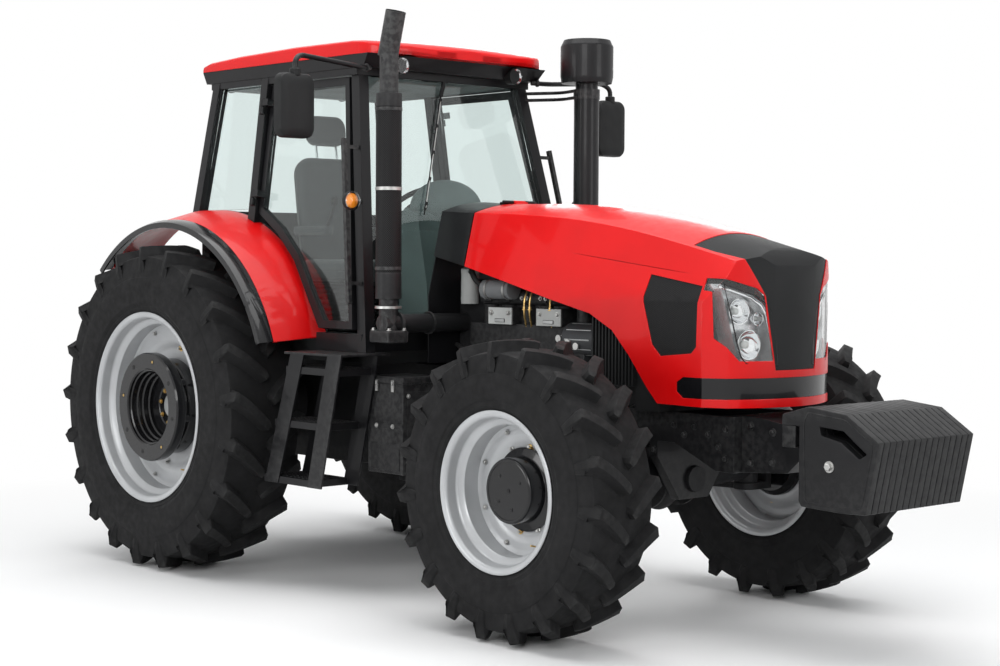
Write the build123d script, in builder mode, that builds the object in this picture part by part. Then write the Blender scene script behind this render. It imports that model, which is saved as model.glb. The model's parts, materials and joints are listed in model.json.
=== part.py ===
import os
from math import cos, radians, sin, sqrt, tan

from build123d import *

os.makedirs("parts", exist_ok=True)

# Driving dimensions in millimetres: x runs forward from the rear axle, y to the left, z up from the ground
WHEELBASE = 2690
FRONT_END = 4164
REAR_END = -930
REAR_AXLE_X = -(FRONT_END + REAR_END) / 2

# Wheels
REAR_TIP_RADIUS = 865
REAR_BEAD_RADIUS = 483
REAR_HALF_TRACK = 907
REAR_RIM_HALF_WIDTH = 216
REAR_HALF_SECTION = 233
REAR_HALF_TREAD = 210
REAR_LUG_HEIGHT = 44
REAR_LUG_WIDTH = 46
REAR_LUG_COUNT = 21

FRONT_TIP_RADIUS = 660
FRONT_BEAD_RADIUS = 330
FRONT_HALF_TRACK = 879
FRONT_RIM_HALF_WIDTH = 178
FRONT_HALF_SECTION = 189
FRONT_HALF_TREAD = 172
FRONT_LUG_HEIGHT = 40
FRONT_LUG_WIDTH = 40
FRONT_LUG_COUNT = 19

RIM_FLANGE_HEIGHT = 25
RIM_THICKNESS = 9
LUG_ANGLE = 43
FIT = 0.3
BEARING_GAP = 0.4

# Axles
KINGPIN_HALF_TRACK = 620
KINGPIN_RADIUS = 24
AXLE_BOSS_RADIUS = 62
AXLE_BOSS_HALF_HEIGHT = 80
SPINDLE_RADIUS = 48
REAR_SHAFT_RADIUS = 60

# Front half-frame and weights
FRAME_HALF_WIDTH = 250
FRAME_TOP = 987
WEIGHT_COUNT = 16
WEIGHT_PITCH = 42
WEIGHT_THICKNESS = 40

# Cab
FLOOR_TOP = 1200
SILL_HEIGHT = 1310
ROOF_RAIL_HEIGHT = 2615
ROOF_TOP = 2768
PILLAR_SIZE = 62
GLASS_THICKNESS = 6
DOOR_GAP = 6


def write(piece, name):
    """Moves a finished piece from the rear axle to the middle of the tractor and writes it."""
    placed = Pos(REAR_AXLE_X, 0, 0) * piece
    placed.label = name
    export_step(placed, f"parts/{name}.step")


# Tyres
def make_tyre(tip, bead, rim_half_width, half_section, half_tread, lug_height, lug_width, lug_count):
    """A tyre about the Y axis with two staggered rows of slanted lugs, its chevrons pointing forward at the top."""
    band = tip - lug_height
    bulge = bead + 0.5 * (band - bead)
    seat = rim_half_width - RIM_THICKNESS - FIT
    slant = radians(LUG_ANGLE)
    inner_end = 12
    half_length = (half_tread - inner_end) / cos(slant) / 2
    top = sqrt(tip**2 - (half_length * sin(slant) + lug_width / 2) ** 2)
    with BuildPart() as tyre:
        with BuildSketch(Plane.YZ):
            with BuildLine():
                Polyline(
                    (-seat, bead + FIT), (seat, bead + FIT), (seat, bead + RIM_FLANGE_HEIGHT + 4),
                    (half_section, bulge), (half_section - 6, bulge + 70),
                    (half_tread, band - 22), (half_tread * 0.6, band), (-half_tread * 0.6, band),
                    (-half_tread, band - 22), (-half_section + 6, bulge + 70), (-half_section, bulge),
                    (-seat, bead + RIM_FLANGE_HEIGHT + 4), close=True,
                )
            make_face()
        revolve(axis=Axis.Y)
        for side, phase in ((1, 0), (-1, 0.5)):
            middle = Vector(0, side * (half_tread + inner_end) / 2, 0)
            along = Vector(-sin(slant), side * cos(slant), 0)
            with BuildPart(mode=Mode.PRIVATE) as lug:
                with BuildSketch(Plane(middle, x_dir=along, z_dir=along.cross(Vector(0, 0, 1)))):
                    with BuildLine():
                        Polyline(
                            (-half_length, band - 12), (-half_length + 10, top), (half_length, top),
                            (half_length + 16, top - 60), (half_length + 4, band - 75), close=True,
                        )
                    make_face()
                extrude(amount=lug_width / 2, both=True)
            turns = [Location((0, 0, 0), (0, (n + phase) * 360 / lug_count, 0)) for n in range(lug_count)]
            with Locations(*turns):
                add(lug.part)
    return tyre.part


rear_tyre = make_tyre(REAR_TIP_RADIUS, REAR_BEAD_RADIUS, REAR_RIM_HALF_WIDTH, REAR_HALF_SECTION, REAR_HALF_TREAD,
                      REAR_LUG_HEIGHT, REAR_LUG_WIDTH, REAR_LUG_COUNT)
front_tyre = make_tyre(FRONT_TIP_RADIUS, FRONT_BEAD_RADIUS, FRONT_RIM_HALF_WIDTH, FRONT_HALF_SECTION, FRONT_HALF_TREAD,
                       FRONT_LUG_HEIGHT, FRONT_LUG_WIDTH, FRONT_LUG_COUNT)


# Rims, hubs and wheels
def make_rim(bead, half_width, disc_offset, disc_bore, disc_edge):
    """A rim about the Y axis, outboard towards +Y, with a conical disc to its hub."""
    flange = bead + RIM_FLANGE_HEIGHT
    well = bead - 34
    with BuildPart() as rim:
        with BuildSketch(Plane.YZ):
            with BuildLine():
                Polyline(
                    (-half_width, flange), (-half_width + RIM_THICKNESS, flange),
                    (-half_width + RIM_THICKNESS, bead), (-half_width + 70, bead), (-half_width + 92, well),
                    (half_width - 92, well), (half_width - 70, bead), (half_width - RIM_THICKNESS, bead),
                    (half_width - RIM_THICKNESS, flange), (half_width, flange),
                    (half_width, bead - RIM_THICKNESS), (half_width - 66, bead - RIM_THICKNESS),
                    (half_width - 88, well - RIM_THICKNESS), (-half_width + 88, well - RIM_THICKNESS),
                    (-half_width + 66, bead - RIM_THICKNESS), (-half_width, bead - RIM_THICKNESS), close=True,
                )
            make_face()
            with BuildLine():
                Polyline(
                    (disc_offset - 6, disc_bore), (disc_offset + 6, disc_bore), (disc_offset + 6, disc_edge),
                    (disc_offset + 34, well - RIM_THICKNESS / 2), (disc_offset + 20, well - RIM_THICKNESS / 2),
                    (disc_offset - 6, disc_edge + 4), close=True,
                )
            make_face()
        revolve(axis=Axis.Y)
    return rim.part


def placed_wheel(piece, x, half_track, height, side):
    """Moves a wheel piece made outboard towards +Y to one side of the tractor."""
    if side < 0:
        piece = mirror(piece, about=Plane.XZ)
    return Pos(x, side * half_track, height) * piece


REAR_DISC_OFFSET = 20
REAR_DISC_BORE = 150
FRONT_DISC_OFFSET = -25
FRONT_DISC_BORE = 120

rear_rim = make_rim(REAR_BEAD_RADIUS, REAR_RIM_HALF_WIDTH, REAR_DISC_OFFSET, REAR_DISC_BORE, 330)
front_rim = make_rim(FRONT_BEAD_RADIUS, FRONT_RIM_HALF_WIDTH, FRONT_DISC_OFFSET, FRONT_DISC_BORE, 205)

# The rear hub is an open stepped drum on the disc, with the axle shaft behind it
REAR_DRUM_RADIUS = 290
REAR_DRUM_FACE = 200
REAR_TRUMPET_END = 640
with BuildPart() as rear_hub:
    with BuildSketch(Plane.YZ):
        with BuildLine():
            Polyline(
                (REAR_DISC_OFFSET + 6, 0), (REAR_DISC_OFFSET + 6, 262), (REAR_DRUM_FACE - 60, 240),
                (REAR_DRUM_FACE - 60, 262), (REAR_DRUM_FACE - 30, 262), (REAR_DRUM_FACE - 30, REAR_DRUM_RADIUS),
                (REAR_DRUM_FACE, REAR_DRUM_RADIUS), (REAR_DRUM_FACE, 195), (REAR_DISC_OFFSET + 60, 195),
                (REAR_DISC_OFFSET + 60, 0), close=True,
            )
        make_face()
        with BuildLine():
            Polyline(
                (REAR_TRUMPET_END - REAR_HALF_TRACK - 160, 0),
                (REAR_TRUMPET_END - REAR_HALF_TRACK - 160, REAR_SHAFT_RADIUS),
                (REAR_DISC_OFFSET - 40, REAR_SHAFT_RADIUS), (REAR_DISC_OFFSET - 40, 185),
                (REAR_DISC_OFFSET - 6, 185), (REAR_DISC_OFFSET - 6, REAR_DISC_BORE),
                (REAR_DISC_OFFSET + 6, REAR_DISC_BORE), (REAR_DISC_OFFSET + 6, 0), close=True,
            )
        make_face()
    revolve(axis=Axis.Y)

# The front hub is a closed planetary drum, hollow for the spindle
FRONT_DRUM_RADIUS = 145
FRONT_DRUM_FACE = 96
SPINDLE_END = FRONT_HALF_TRACK + 20
with BuildPart() as front_hub:
    with BuildSketch(Plane.YZ):
        with BuildLine():
            Polyline(
                (FRONT_DISC_OFFSET - 60, SPINDLE_RADIUS + BEARING_GAP), (FRONT_DISC_OFFSET - 60, 140),
                (FRONT_DISC_OFFSET - 30, 165), (FRONT_DISC_OFFSET - 6, 165),
                (FRONT_DISC_OFFSET - 6, FRONT_DISC_BORE), (FRONT_DISC_OFFSET + 6, FRONT_DISC_BORE),
                (FRONT_DISC_OFFSET + 6, FRONT_DRUM_RADIUS + 40), (FRONT_DISC_OFFSET + 20, FRONT_DRUM_RADIUS + 40),
                (FRONT_DISC_OFFSET + 30, FRONT_DRUM_RADIUS), (FRONT_DRUM_FACE - 14, FRONT_DRUM_RADIUS),
                (FRONT_DRUM_FACE, FRONT_DRUM_RADIUS - 14), (FRONT_DRUM_FACE, 0),
                (SPINDLE_END - FRONT_HALF_TRACK + 2, 0),
                (SPINDLE_END - FRONT_HALF_TRACK + 2, SPINDLE_RADIUS + BEARING_GAP), close=True,
            )
        make_face()
    revolve(axis=Axis.Y)

for side, word in ((1, "left"), (-1, "right")):
    rear = (0, REAR_HALF_TRACK, REAR_TIP_RADIUS, side)
    front = (WHEELBASE, FRONT_HALF_TRACK, FRONT_TIP_RADIUS, side)
    write(placed_wheel(rear_tyre, *rear), f"rear_tyre_{word}")
    write(placed_wheel(rear_rim, *rear), f"rear_rim_{word}")
    write(placed_wheel(rear_hub.part, *rear), f"rear_hub_{word}")
    write(placed_wheel(front_tyre, *front), f"front_tyre_{word}")
    write(placed_wheel(front_rim, *front), f"front_rim_{word}")
    write(placed_wheel(front_hub.part, *front), f"front_hub_{word}")

# Knuckles: a fork over the axle's end, its kingpins, the spindle and a steering arm
FORK_THICKNESS = 34
FORK_GAP = 1
ARM_REACH = 190
FORK_HALF_HEIGHT = AXLE_BOSS_HALF_HEIGHT + FORK_GAP + FORK_THICKNESS
KNUCKLE_BACK = 84
for side, word in ((1, "left"), (-1, "right")):
    centre = Plane(origin=(WHEELBASE, side * KINGPIN_HALF_TRACK, FRONT_TIP_RADIUS))
    with BuildPart() as knuckle:
        for up in (1, -1):
            fork_middle = up * (AXLE_BOSS_HALF_HEIGHT + FORK_GAP + FORK_THICKNESS / 2)
            with BuildSketch(centre.offset(fork_middle)):
                Circle(AXLE_BOSS_RADIUS)
                with Locations((0, side * KNUCKLE_BACK / 2)):
                    Rectangle(2 * AXLE_BOSS_RADIUS, KNUCKLE_BACK)
            extrude(amount=FORK_THICKNESS / 2, both=True)
            with BuildSketch(centre.offset(up * (AXLE_BOSS_HALF_HEIGHT - 50))):
                Circle(KINGPIN_RADIUS)
            extrude(amount=up * (50 + FORK_GAP + 5))
        with BuildSketch(centre):
            with Locations((0, side * (KNUCKLE_BACK + 18))):
                Rectangle(2 * AXLE_BOSS_RADIUS, 36)
        extrude(amount=FORK_HALF_HEIGHT, both=True)
        spindle_start = KINGPIN_HALF_TRACK + KNUCKLE_BACK + 20
        with BuildSketch(Plane(origin=(WHEELBASE, side * spindle_start, FRONT_TIP_RADIUS), z_dir=(0, side, 0))):
            Circle(SPINDLE_RADIUS)
        extrude(amount=SPINDLE_END - spindle_start)
        with BuildSketch(centre.offset(-FORK_HALF_HEIGHT + 12)):
            with BuildLine():
                Polyline((-40, -30 * side), (-ARM_REACH, -60 * side), (-ARM_REACH, -20 * side), (-40, 50 * side),
                         close=True)
            make_face()
        extrude(amount=12, both=True)
    write(knuckle.part, f"knuckle_{word}")

# Front axle: a cast beam with a round differential case and an eye at each end
AXLE_BEAM_HALF_LENGTH = KINGPIN_HALF_TRACK
DIFF_RADIUS = 165
TRUNNION_RADIUS = 60
with BuildPart() as front_axle:
    for side in (1, -1):
        with BuildSketch(Plane(origin=(WHEELBASE, 0, FRONT_TIP_RADIUS), z_dir=(0, side, 0))) as root:
            Circle(105)
        with BuildSketch(Plane(origin=(WHEELBASE, side * AXLE_BEAM_HALF_LENGTH, FRONT_TIP_RADIUS),
                               z_dir=(0, side, 0))) as tip:
            Circle(60)
        loft()
        with BuildSketch(Plane(origin=(WHEELBASE, side * KINGPIN_HALF_TRACK,
                                       FRONT_TIP_RADIUS - AXLE_BOSS_HALF_HEIGHT))):
            Circle(AXLE_BOSS_RADIUS - 4)
        extrude(amount=2 * AXLE_BOSS_HALF_HEIGHT)
    with BuildSketch(Plane.YZ.offset(WHEELBASE - 190)):
        with Locations((0, FRONT_TIP_RADIUS)):
            Circle(90)
    with BuildSketch(Plane.YZ.offset(WHEELBASE)):
        with Locations((0, FRONT_TIP_RADIUS)):
            Circle(DIFF_RADIUS)
    loft()
    with BuildSketch(Plane.YZ.offset(WHEELBASE)):
        with Locations((0, FRONT_TIP_RADIUS)):
            Circle(DIFF_RADIUS)
    with BuildSketch(Plane.YZ.offset(WHEELBASE + 120)):
        with Locations((0, FRONT_TIP_RADIUS)):
            Circle(70)
    loft()
    with BuildSketch(Plane.YZ.offset(WHEELBASE + 100)):
        with Locations((0, FRONT_TIP_RADIUS)):
            Circle(TRUNNION_RADIUS)
    extrude(amount=130)
    with BuildSketch(Plane.YZ.offset(WHEELBASE - 250)):
        with Locations((0, FRONT_TIP_RADIUS)):
            Circle(TRUNNION_RADIUS)
    extrude(amount=70)
    for side in (1, -1):
        with BuildSketch(Plane(origin=(WHEELBASE, side * KINGPIN_HALF_TRACK, FRONT_TIP_RADIUS))):
            Circle(KINGPIN_RADIUS + BEARING_GAP)
        extrude(amount=AXLE_BOSS_HALF_HEIGHT, both=True, mode=Mode.SUBTRACT)
write(front_axle.part, "front_axle")

# Front half-frame with the axle's pivot brackets
FRAME_REAR = 2300
FRAME_FRONT = 3346
PIVOT_REAR = WHEELBASE - 245
PIVOT_FRONT = WHEELBASE + 160
with BuildPart() as frame:
    with BuildSketch(Plane.XZ):
        with BuildLine():
            Polyline((FRAME_REAR, FRAME_TOP), (FRAME_FRONT, FRAME_TOP), (FRAME_FRONT, 742), (3245, 742),
                     (3000, 850), (FRAME_REAR, 850), close=True)
        make_face()
    extrude(amount=FRAME_HALF_WIDTH, both=True)
    with BuildSketch(Plane.XY.offset(700)):
        with Locations(((FRAME_REAR + FRAME_FRONT) / 2 - 30, 0)):
            Rectangle(FRAME_FRONT - FRAME_REAR - 60, 2 * FRAME_HALF_WIDTH - 70)
    extrude(amount=400, mode=Mode.SUBTRACT)
    for x in (PIVOT_REAR, PIVOT_FRONT):
        with BuildSketch(Plane.YZ.offset(x)):
            with BuildLine():
                Polyline((-FRAME_HALF_WIDTH, 870), (-FRAME_HALF_WIDTH, 780), (-100, FRONT_TIP_RADIUS - 90),
                         (100, FRONT_TIP_RADIUS - 90), (FRAME_HALF_WIDTH, 780), (FRAME_HALF_WIDTH, 870),
                         (FRAME_HALF_WIDTH - 35, 870), (-FRAME_HALF_WIDTH + 35, 870), close=True)
            make_face()
        extrude(amount=50)
    with BuildSketch(Plane.YZ.offset(PIVOT_FRONT - 10)):
        with Locations((0, FRONT_TIP_RADIUS)):
            Circle(TRUNNION_RADIUS + FIT)
    extrude(amount=80, mode=Mode.SUBTRACT)
    with BuildSketch(Plane.YZ.offset(PIVOT_REAR - 10)):
        with Locations((0, FRONT_TIP_RADIUS)):
            Circle(TRUNNION_RADIUS + FIT)
    extrude(amount=70, mode=Mode.SUBTRACT)
write(frame.part, "frame")

# Weight carrier and the row of hanging weights
CARRIER_FRONT = 3690
WEIGHT_HALF_WIDTH = WEIGHT_COUNT * WEIGHT_PITCH / 2
WEIGHT_BACK = 3765
with BuildPart() as weight_carrier:
    with BuildSketch(Plane.XZ):
        with BuildLine():
            Polyline((FRAME_FRONT, 990), (3428, 990), (CARRIER_FRONT + 60, 943), (CARRIER_FRONT + 60, 900),
                     (3600, 760), (FRAME_FRONT, 742), close=True)
        make_face()
    extrude(amount=200, both=True)
    with BuildSketch(Plane.XZ):
        with Locations((CARRIER_FRONT + 20, 935)):
            Rectangle(70, 90)
    extrude(amount=WEIGHT_HALF_WIDTH - 4, both=True)
    with BuildSketch(Plane.XZ):
        with BuildLine():
            Polyline((FRAME_FRONT + 40, 930), (CARRIER_FRONT - 60, 900), (3590, 800), (FRAME_FRONT + 40, 790),
                     close=True)
        make_face()
    extrude(amount=160, both=True, mode=Mode.SUBTRACT)
write(weight_carrier.part, "weight_carrier")

with BuildPart() as one_weight:
    with BuildSketch(Plane.XZ):
        with BuildLine():
            Polyline((3677, 1027), (3809, 1064), (4006, 1043), (FRONT_END, 940), (FRONT_END - 61, 645), (3978, 641),
                     (3779, 649), (WEIGHT_BACK, 670), (WEIGHT_BACK, 980), (3674, 980), close=True)
        make_face()
        with BuildLine():
            Polyline((3870, 985), (3990, 975), (4105, 890), (4070, 868), (3980, 930), (3880, 950), close=True)
        make_face(mode=Mode.SUBTRACT)
    extrude(amount=WEIGHT_THICKNESS / 2, both=True)
with BuildPart() as front_weights:
    with GridLocations(1, WEIGHT_PITCH, 1, WEIGHT_COUNT):
        add(one_weight.part)
    with BuildSketch(Plane.XZ.offset(-WEIGHT_HALF_WIDTH + 2)):
        with Locations((3923, 826)):
            Circle(12)
    extrude(amount=2 * WEIGHT_HALF_WIDTH - 4)
write(front_weights.part, "front_weights")

ENGINE_HALF_WIDTH = 190

# Engine, with its pan, block, head and side equipment as one plain block
with BuildPart() as engine:
    with BuildSketch(Plane.XZ):
        with BuildLine():
            Polyline((1480, 740), (1640, 690), (2250, 690), (2290, 740), (2290, 850), (2700, 1000), (2760, 1080),
                     (2760, 1480), (1480, 1560), close=True)
        make_face()
    extrude(amount=ENGINE_HALF_WIDTH, both=True)
    with BuildSketch(Plane.XY.offset(1100)):
        with Locations((2050, 0)):
            Rectangle(800, 540)
    extrude(amount=250)
write(engine.part, "engine")

# Radiator with its frame
with BuildPart() as radiator:
    with BuildSketch(Plane.XY.offset(FRAME_TOP)):
        with Locations((2900, 0)):
            Rectangle(150, 640)
    extrude(amount=620)
write(radiator.part, "radiator")

# Gearbox and rear axle housing, with the cross shafts of the rear hitch
LIFT_SHAFT = (-265, 1150)
LIFT_SHAFT_RADIUS = 38
LINK_SHAFT = (-240, 610)
LINK_SHAFT_RADIUS = 22
with BuildPart() as transmission:
    with BuildSketch(Plane.XZ):
        with BuildLine():
            Polyline((-330, 560), (-330, 1195), (-200, 1195), (-200, 1120), (1480, 1120), (1480, 680), (700, 560),
                     close=True)
        make_face()
    extrude(amount=200, both=True)
    with BuildSketch(Plane.XY.offset(480)):
        with Locations((1000, 0)):
            Rectangle(200, 220)
    extrude(amount=160)
    with BuildSketch(Plane.XZ):
        with Locations(LIFT_SHAFT):
            Circle(LIFT_SHAFT_RADIUS + FIT)
        with Locations(LINK_SHAFT):
            Circle(LINK_SHAFT_RADIUS + BEARING_GAP)
    extrude(amount=300, both=True, mode=Mode.SUBTRACT)
    for side in (1, -1):
        with BuildSketch(Plane(origin=(0, side * 190, REAR_TIP_RADIUS), z_dir=(0, side, 0))):
            Circle(210)
        with BuildSketch(Plane(origin=(0, side * REAR_TRUMPET_END, REAR_TIP_RADIUS), z_dir=(0, side, 0))):
            Circle(105)
        loft()
        with BuildSketch(Plane(origin=(0, side * (REAR_TRUMPET_END - 170), REAR_TIP_RADIUS), z_dir=(0, side, 0))):
            Circle(REAR_SHAFT_RADIUS + BEARING_GAP)
        extrude(amount=180, mode=Mode.SUBTRACT)
write(transmission.part, "transmission")

# Drive shaft to the front axle
with BuildPart() as drive_shaft:
    with BuildSketch(Plane.YZ.offset(1100)):
        with Locations((0, 560)):
            Circle(32)
    with BuildSketch(Plane.YZ.offset(WHEELBASE - 250)):
        with Locations((0, FRONT_TIP_RADIUS - 5)):
            Circle(32)
    loft()
write(drive_shaft.part, "drive_shaft")

# Fenders: an arch over each rear wheel, with a black outer edge
FENDER_X = 30
FENDER_Z = 905
FENDER_START = 20.5
FENDER_SWEEP = 113
FENDER_INNER = 655
FENDER_INNER_RADIUS = 1018
FENDER_OUTER = 950
FENDER_OUTER_RADIUS = 962
FENDER_THICKNESS = 14
EDGE_OUTER = 1030
EDGE_OUTER_RADIUS = 945


def arch(side, outline):
    """An arch over the rear wheel, its section given as side and radius."""
    start = radians(FENDER_START)
    radial = Vector(cos(start), 0, sin(start))
    with BuildPart() as shell:
        with BuildSketch(Plane(origin=(FENDER_X, 0, FENDER_Z), x_dir=(0, side, 0),
                               z_dir=Vector(0, side, 0).cross(radial))):
            with BuildLine():
                Polyline(*outline, close=True)
            make_face()
        revolve(axis=Axis((FENDER_X, 0, FENDER_Z), (0, -1, 0)), revolution_arc=FENDER_SWEEP)
    return shell.part


with BuildPart() as fenders:
    for side in (1, -1):
        add(arch(side, ((FENDER_INNER, FENDER_INNER_RADIUS), (760, FENDER_INNER_RADIUS - 4),
                        (FENDER_OUTER, FENDER_OUTER_RADIUS), (FENDER_OUTER, FENDER_OUTER_RADIUS - FENDER_THICKNESS),
                        (755, FENDER_INNER_RADIUS - 4 - FENDER_THICKNESS),
                        (FENDER_INNER, FENDER_INNER_RADIUS - FENDER_THICKNESS))))
write(fenders.part, "fenders")

with BuildPart() as fender_edges:
    for side in (1, -1):
        add(arch(side, ((FENDER_OUTER, FENDER_OUTER_RADIUS), (1000, FENDER_OUTER_RADIUS - 4),
                        (EDGE_OUTER, EDGE_OUTER_RADIUS), (EDGE_OUTER, EDGE_OUTER_RADIUS - 30),
                        (EDGE_OUTER - 12, EDGE_OUTER_RADIUS - 30), (EDGE_OUTER - 14, EDGE_OUTER_RADIUS - 12),
                        (995, FENDER_OUTER_RADIUS - 18), (FENDER_OUTER, FENDER_OUTER_RADIUS - FENDER_THICKNESS))))
write(fender_edges.part, "fender_edges")

# Cab body: floor, side walls inside the fenders and rear wall
CAB_REAR = -160
CAB_FRONT = 1380
CAB_HALF_WIDTH = FENDER_INNER
WALL = 14
WALL_FRONT = 1010
ARCH_HEIGHT = FENDER_Z + FENDER_INNER_RADIUS
FLOOR_THICKNESS = 60
B_PILLAR_X = 372
FIREWALL_TOP = 1640
with BuildPart() as cab_body:
    with BuildSketch(Plane.XY.offset(FLOOR_TOP - FLOOR_THICKNESS)):
        with Locations(((CAB_REAR + CAB_FRONT) / 2, 0)):
            Rectangle(CAB_FRONT - CAB_REAR, 2 * CAB_HALF_WIDTH)
    extrude(amount=FLOOR_THICKNESS)
    for side in (1, -1):
        with BuildSketch(Plane.XZ.offset(-side * CAB_HALF_WIDTH)):
            with BuildLine():
                Line((CAB_REAR, FLOOR_TOP), (CAB_REAR, ARCH_HEIGHT))
                Line((CAB_REAR, ARCH_HEIGHT), (FENDER_X, ARCH_HEIGHT))
                CenterArc((FENDER_X, FENDER_Z), FENDER_INNER_RADIUS, FENDER_START, 90 - FENDER_START)
                Line((FENDER_X + FENDER_INNER_RADIUS * cos(radians(FENDER_START)),
                      FENDER_Z + FENDER_INNER_RADIUS * sin(radians(FENDER_START))), (WALL_FRONT, FLOOR_TOP))
                Line((WALL_FRONT, FLOOR_TOP), (CAB_REAR, FLOOR_TOP))
            make_face()
        extrude(amount=side * WALL)
    with BuildSketch(Plane.YZ.offset(CAB_REAR)):
        with Locations((0, (FLOOR_TOP + ARCH_HEIGHT) / 2)):
            Rectangle(2 * CAB_HALF_WIDTH, ARCH_HEIGHT - FLOOR_TOP)
    extrude(amount=WALL)
write(cab_body.part, "cab_body")


# Cab frame: pillars, rails, sills and the roof's underside
def post(low, high, size):
    """A straight square post from one point to another."""
    low = Vector(*low)
    high = Vector(*high)
    with BuildPart() as bar:
        with BuildSketch(Plane(origin=low, z_dir=high - low, x_dir=(1, 0, 0))):
            Rectangle(size, size)
        extrude(amount=(high - low).length)
    return bar.part


# Door hinges: a pin line that leans with the door, with a knuckle pair at each height
DOOR_LEAN = 0.1455
PIN_LINE_X = 390
PIN_LINE_Y = 672
PIN_LINE_Z = 2200
DOOR_HINGE_HEIGHTS = (1985, 2470)
KNUCKLE_RADIUS = 14
KNUCKLE_HEIGHT = 42
DOOR_PIN_RADIUS = 7


def hinge_plane(side, z):
    """The plane across a door's hinge pin at one height, x forward and y outboard on the left."""
    offset = z - PIN_LINE_Z
    return Plane(origin=(PIN_LINE_X - 0.0147 * offset, side * (PIN_LINE_Y - DOOR_LEAN * offset), z),
                 x_dir=(1, 0, 0.0147), z_dir=(-0.0147, -side * DOOR_LEAN, 1))


A_LOW = (1392, 722, SILL_HEIGHT - 130)
A_HIGH = (1100, 540, ROOF_RAIL_HEIGHT + 30)
B_LOW = (373, 672, 1840)
B_HIGH = (355, 562, ROOF_RAIL_HEIGHT + 30)
C_LOW = (-155, 670, 1900)
C_HIGH = (-98, 562, ROOF_RAIL_HEIGHT + 30)
RAIL_HEIGHT = 60
SILL_BASE = FLOOR_TOP
UNDERSIDE_TOP = 2690
with BuildPart() as cab_frame:
    for side in (1, -1):
        for low, high in ((A_LOW, A_HIGH), (B_LOW, B_HIGH), (C_LOW, C_HIGH)):
            add(post((low[0], side * low[1], low[2]), (high[0], side * high[1], high[2]), PILLAR_SIZE))
        with BuildSketch(Plane.XY.offset(SILL_BASE)):
            with Locations(((WALL_FRONT + CAB_FRONT) / 2, side * 700)):
                Rectangle(CAB_FRONT - WALL_FRONT, 90)
        extrude(amount=90)
    with BuildSketch(Plane.XY.offset(SILL_BASE)):
        with Locations((CAB_FRONT - 12, 0)):
            Rectangle(24, 1310)
    extrude(amount=110)
    for outer, inner in ((1260, 1180), ):
        with BuildSketch(Plane.XY.offset(ROOF_RAIL_HEIGHT - 25)):
            with Locations((495, 0)):
                Rectangle(1300, 1190)
                Rectangle(1180, 1070, mode=Mode.SUBTRACT)
        extrude(amount=40)
    with BuildSketch(Plane.XY.offset(ROOF_RAIL_HEIGHT + 10)) as low_edge:
        with Locations((505, 0)):
            Rectangle(1400, 1200)
    with BuildSketch(Plane.XY.offset(UNDERSIDE_TOP)) as high_edge:
        with Locations((525, 0)):
            Rectangle(1470, 1230)
    loft()
    for side in (1, -1):
        for z in DOOR_HINGE_HEIGHTS:
            with BuildSketch(hinge_plane(side, z).offset(-KNUCKLE_HEIGHT)):
                Circle(KNUCKLE_RADIUS)
                with Locations((-10, -side * 20)):
                    Rectangle(24, 40)
            extrude(amount=KNUCKLE_HEIGHT - 5)
            with BuildSketch(hinge_plane(side, z).offset(-KNUCKLE_HEIGHT)):
                Circle(DOOR_PIN_RADIUS)
            extrude(amount=2 * KNUCKLE_HEIGHT)
    add(cab_body.part, mode=Mode.SUBTRACT)
    add(fenders.part, mode=Mode.SUBTRACT)
    split(bisect_by=Plane.XY.offset(SILL_BASE), keep=Keep.TOP)
write(cab_frame.part.solids().sort_by(SortBy.VOLUME)[-1], "cab_frame")

# Roof
with BuildPart() as cab_roof:
    with BuildSketch(Plane.XY.offset(UNDERSIDE_TOP)):
        with BuildLine():
            Polyline((-215, -620), (1180, -620), (1275, -500), (1285, -300), (1285, 300), (1275, 500), (1180, 620),
                     (-215, 620), close=True)
        make_face()
    extrude(amount=ROOF_TOP - UNDERSIDE_TOP)
    fillet(cab_roof.faces().sort_by(Axis.Z)[-1].edges(), 30)
write(cab_roof.part, "cab_roof")


# Glass: windscreen, rear window and the fixed side windows
def pane(corners, thickness):
    """A flat pane from its corner points, thickened along its normal."""
    points = [Vector(*corner) for corner in corners]
    normal = (points[1] - points[0]).cross(points[2] - points[0])
    plane = Plane(origin=points[0], x_dir=points[1] - points[0], z_dir=normal)
    local = [plane.to_local_coords(point) for point in points]
    with BuildPart() as glass:
        with BuildSketch(plane):
            with BuildLine():
                Polyline(*[(point.X, point.Y) for point in local], close=True)
            make_face()
        extrude(amount=thickness / 2, both=True)
    return glass.part


with BuildPart() as cab_glass:
    add(pane(((1366, 690, 1311), (1366, -690, 1311), (1110, -520, 2590), (1110, 520, 2590)), GLASS_THICKNESS))
    add(pane(((-150, 640, ARCH_HEIGHT), (-150, -640, ARCH_HEIGHT), (-101, -540, 2590), (-101, 540, 2590)),
             GLASS_THICKNESS))
    for side in (1, -1):
        add(pane(((-130, side * 667, ARCH_HEIGHT), (345, side * 667, ARCH_HEIGHT), (335, side * 566, 2590),
                  (-80, side * 566, 2590)), GLASS_THICKNESS))
    add(cab_frame.part, mode=Mode.SUBTRACT)
    add(fenders.part, mode=Mode.SUBTRACT)
    add(cab_body.part, mode=Mode.SUBTRACT)
panes = Compound(cab_glass.part.solids().sort_by(SortBy.VOLUME)[-4:])
write(panes, "cab_glass")

# Seat
with BuildPart() as seat:
    with BuildSketch(Plane.XY.offset(FLOOR_TOP)):
        with Locations((330, 0)):
            Rectangle(300, 300)
    extrude(amount=330)
    with BuildSketch(Plane.XY.offset(FLOOR_TOP + 330)):
        with Locations((360, 0)):
            Rectangle(500, 500)
    extrude(amount=130)
    with BuildSketch(Plane.XZ):
        with BuildLine():
            Polyline((110, 1640), (230, 1640), (150, 2230), (60, 2230), close=True)
        make_face()
    extrude(amount=240, both=True)
write(seat.part, "seat")

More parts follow.
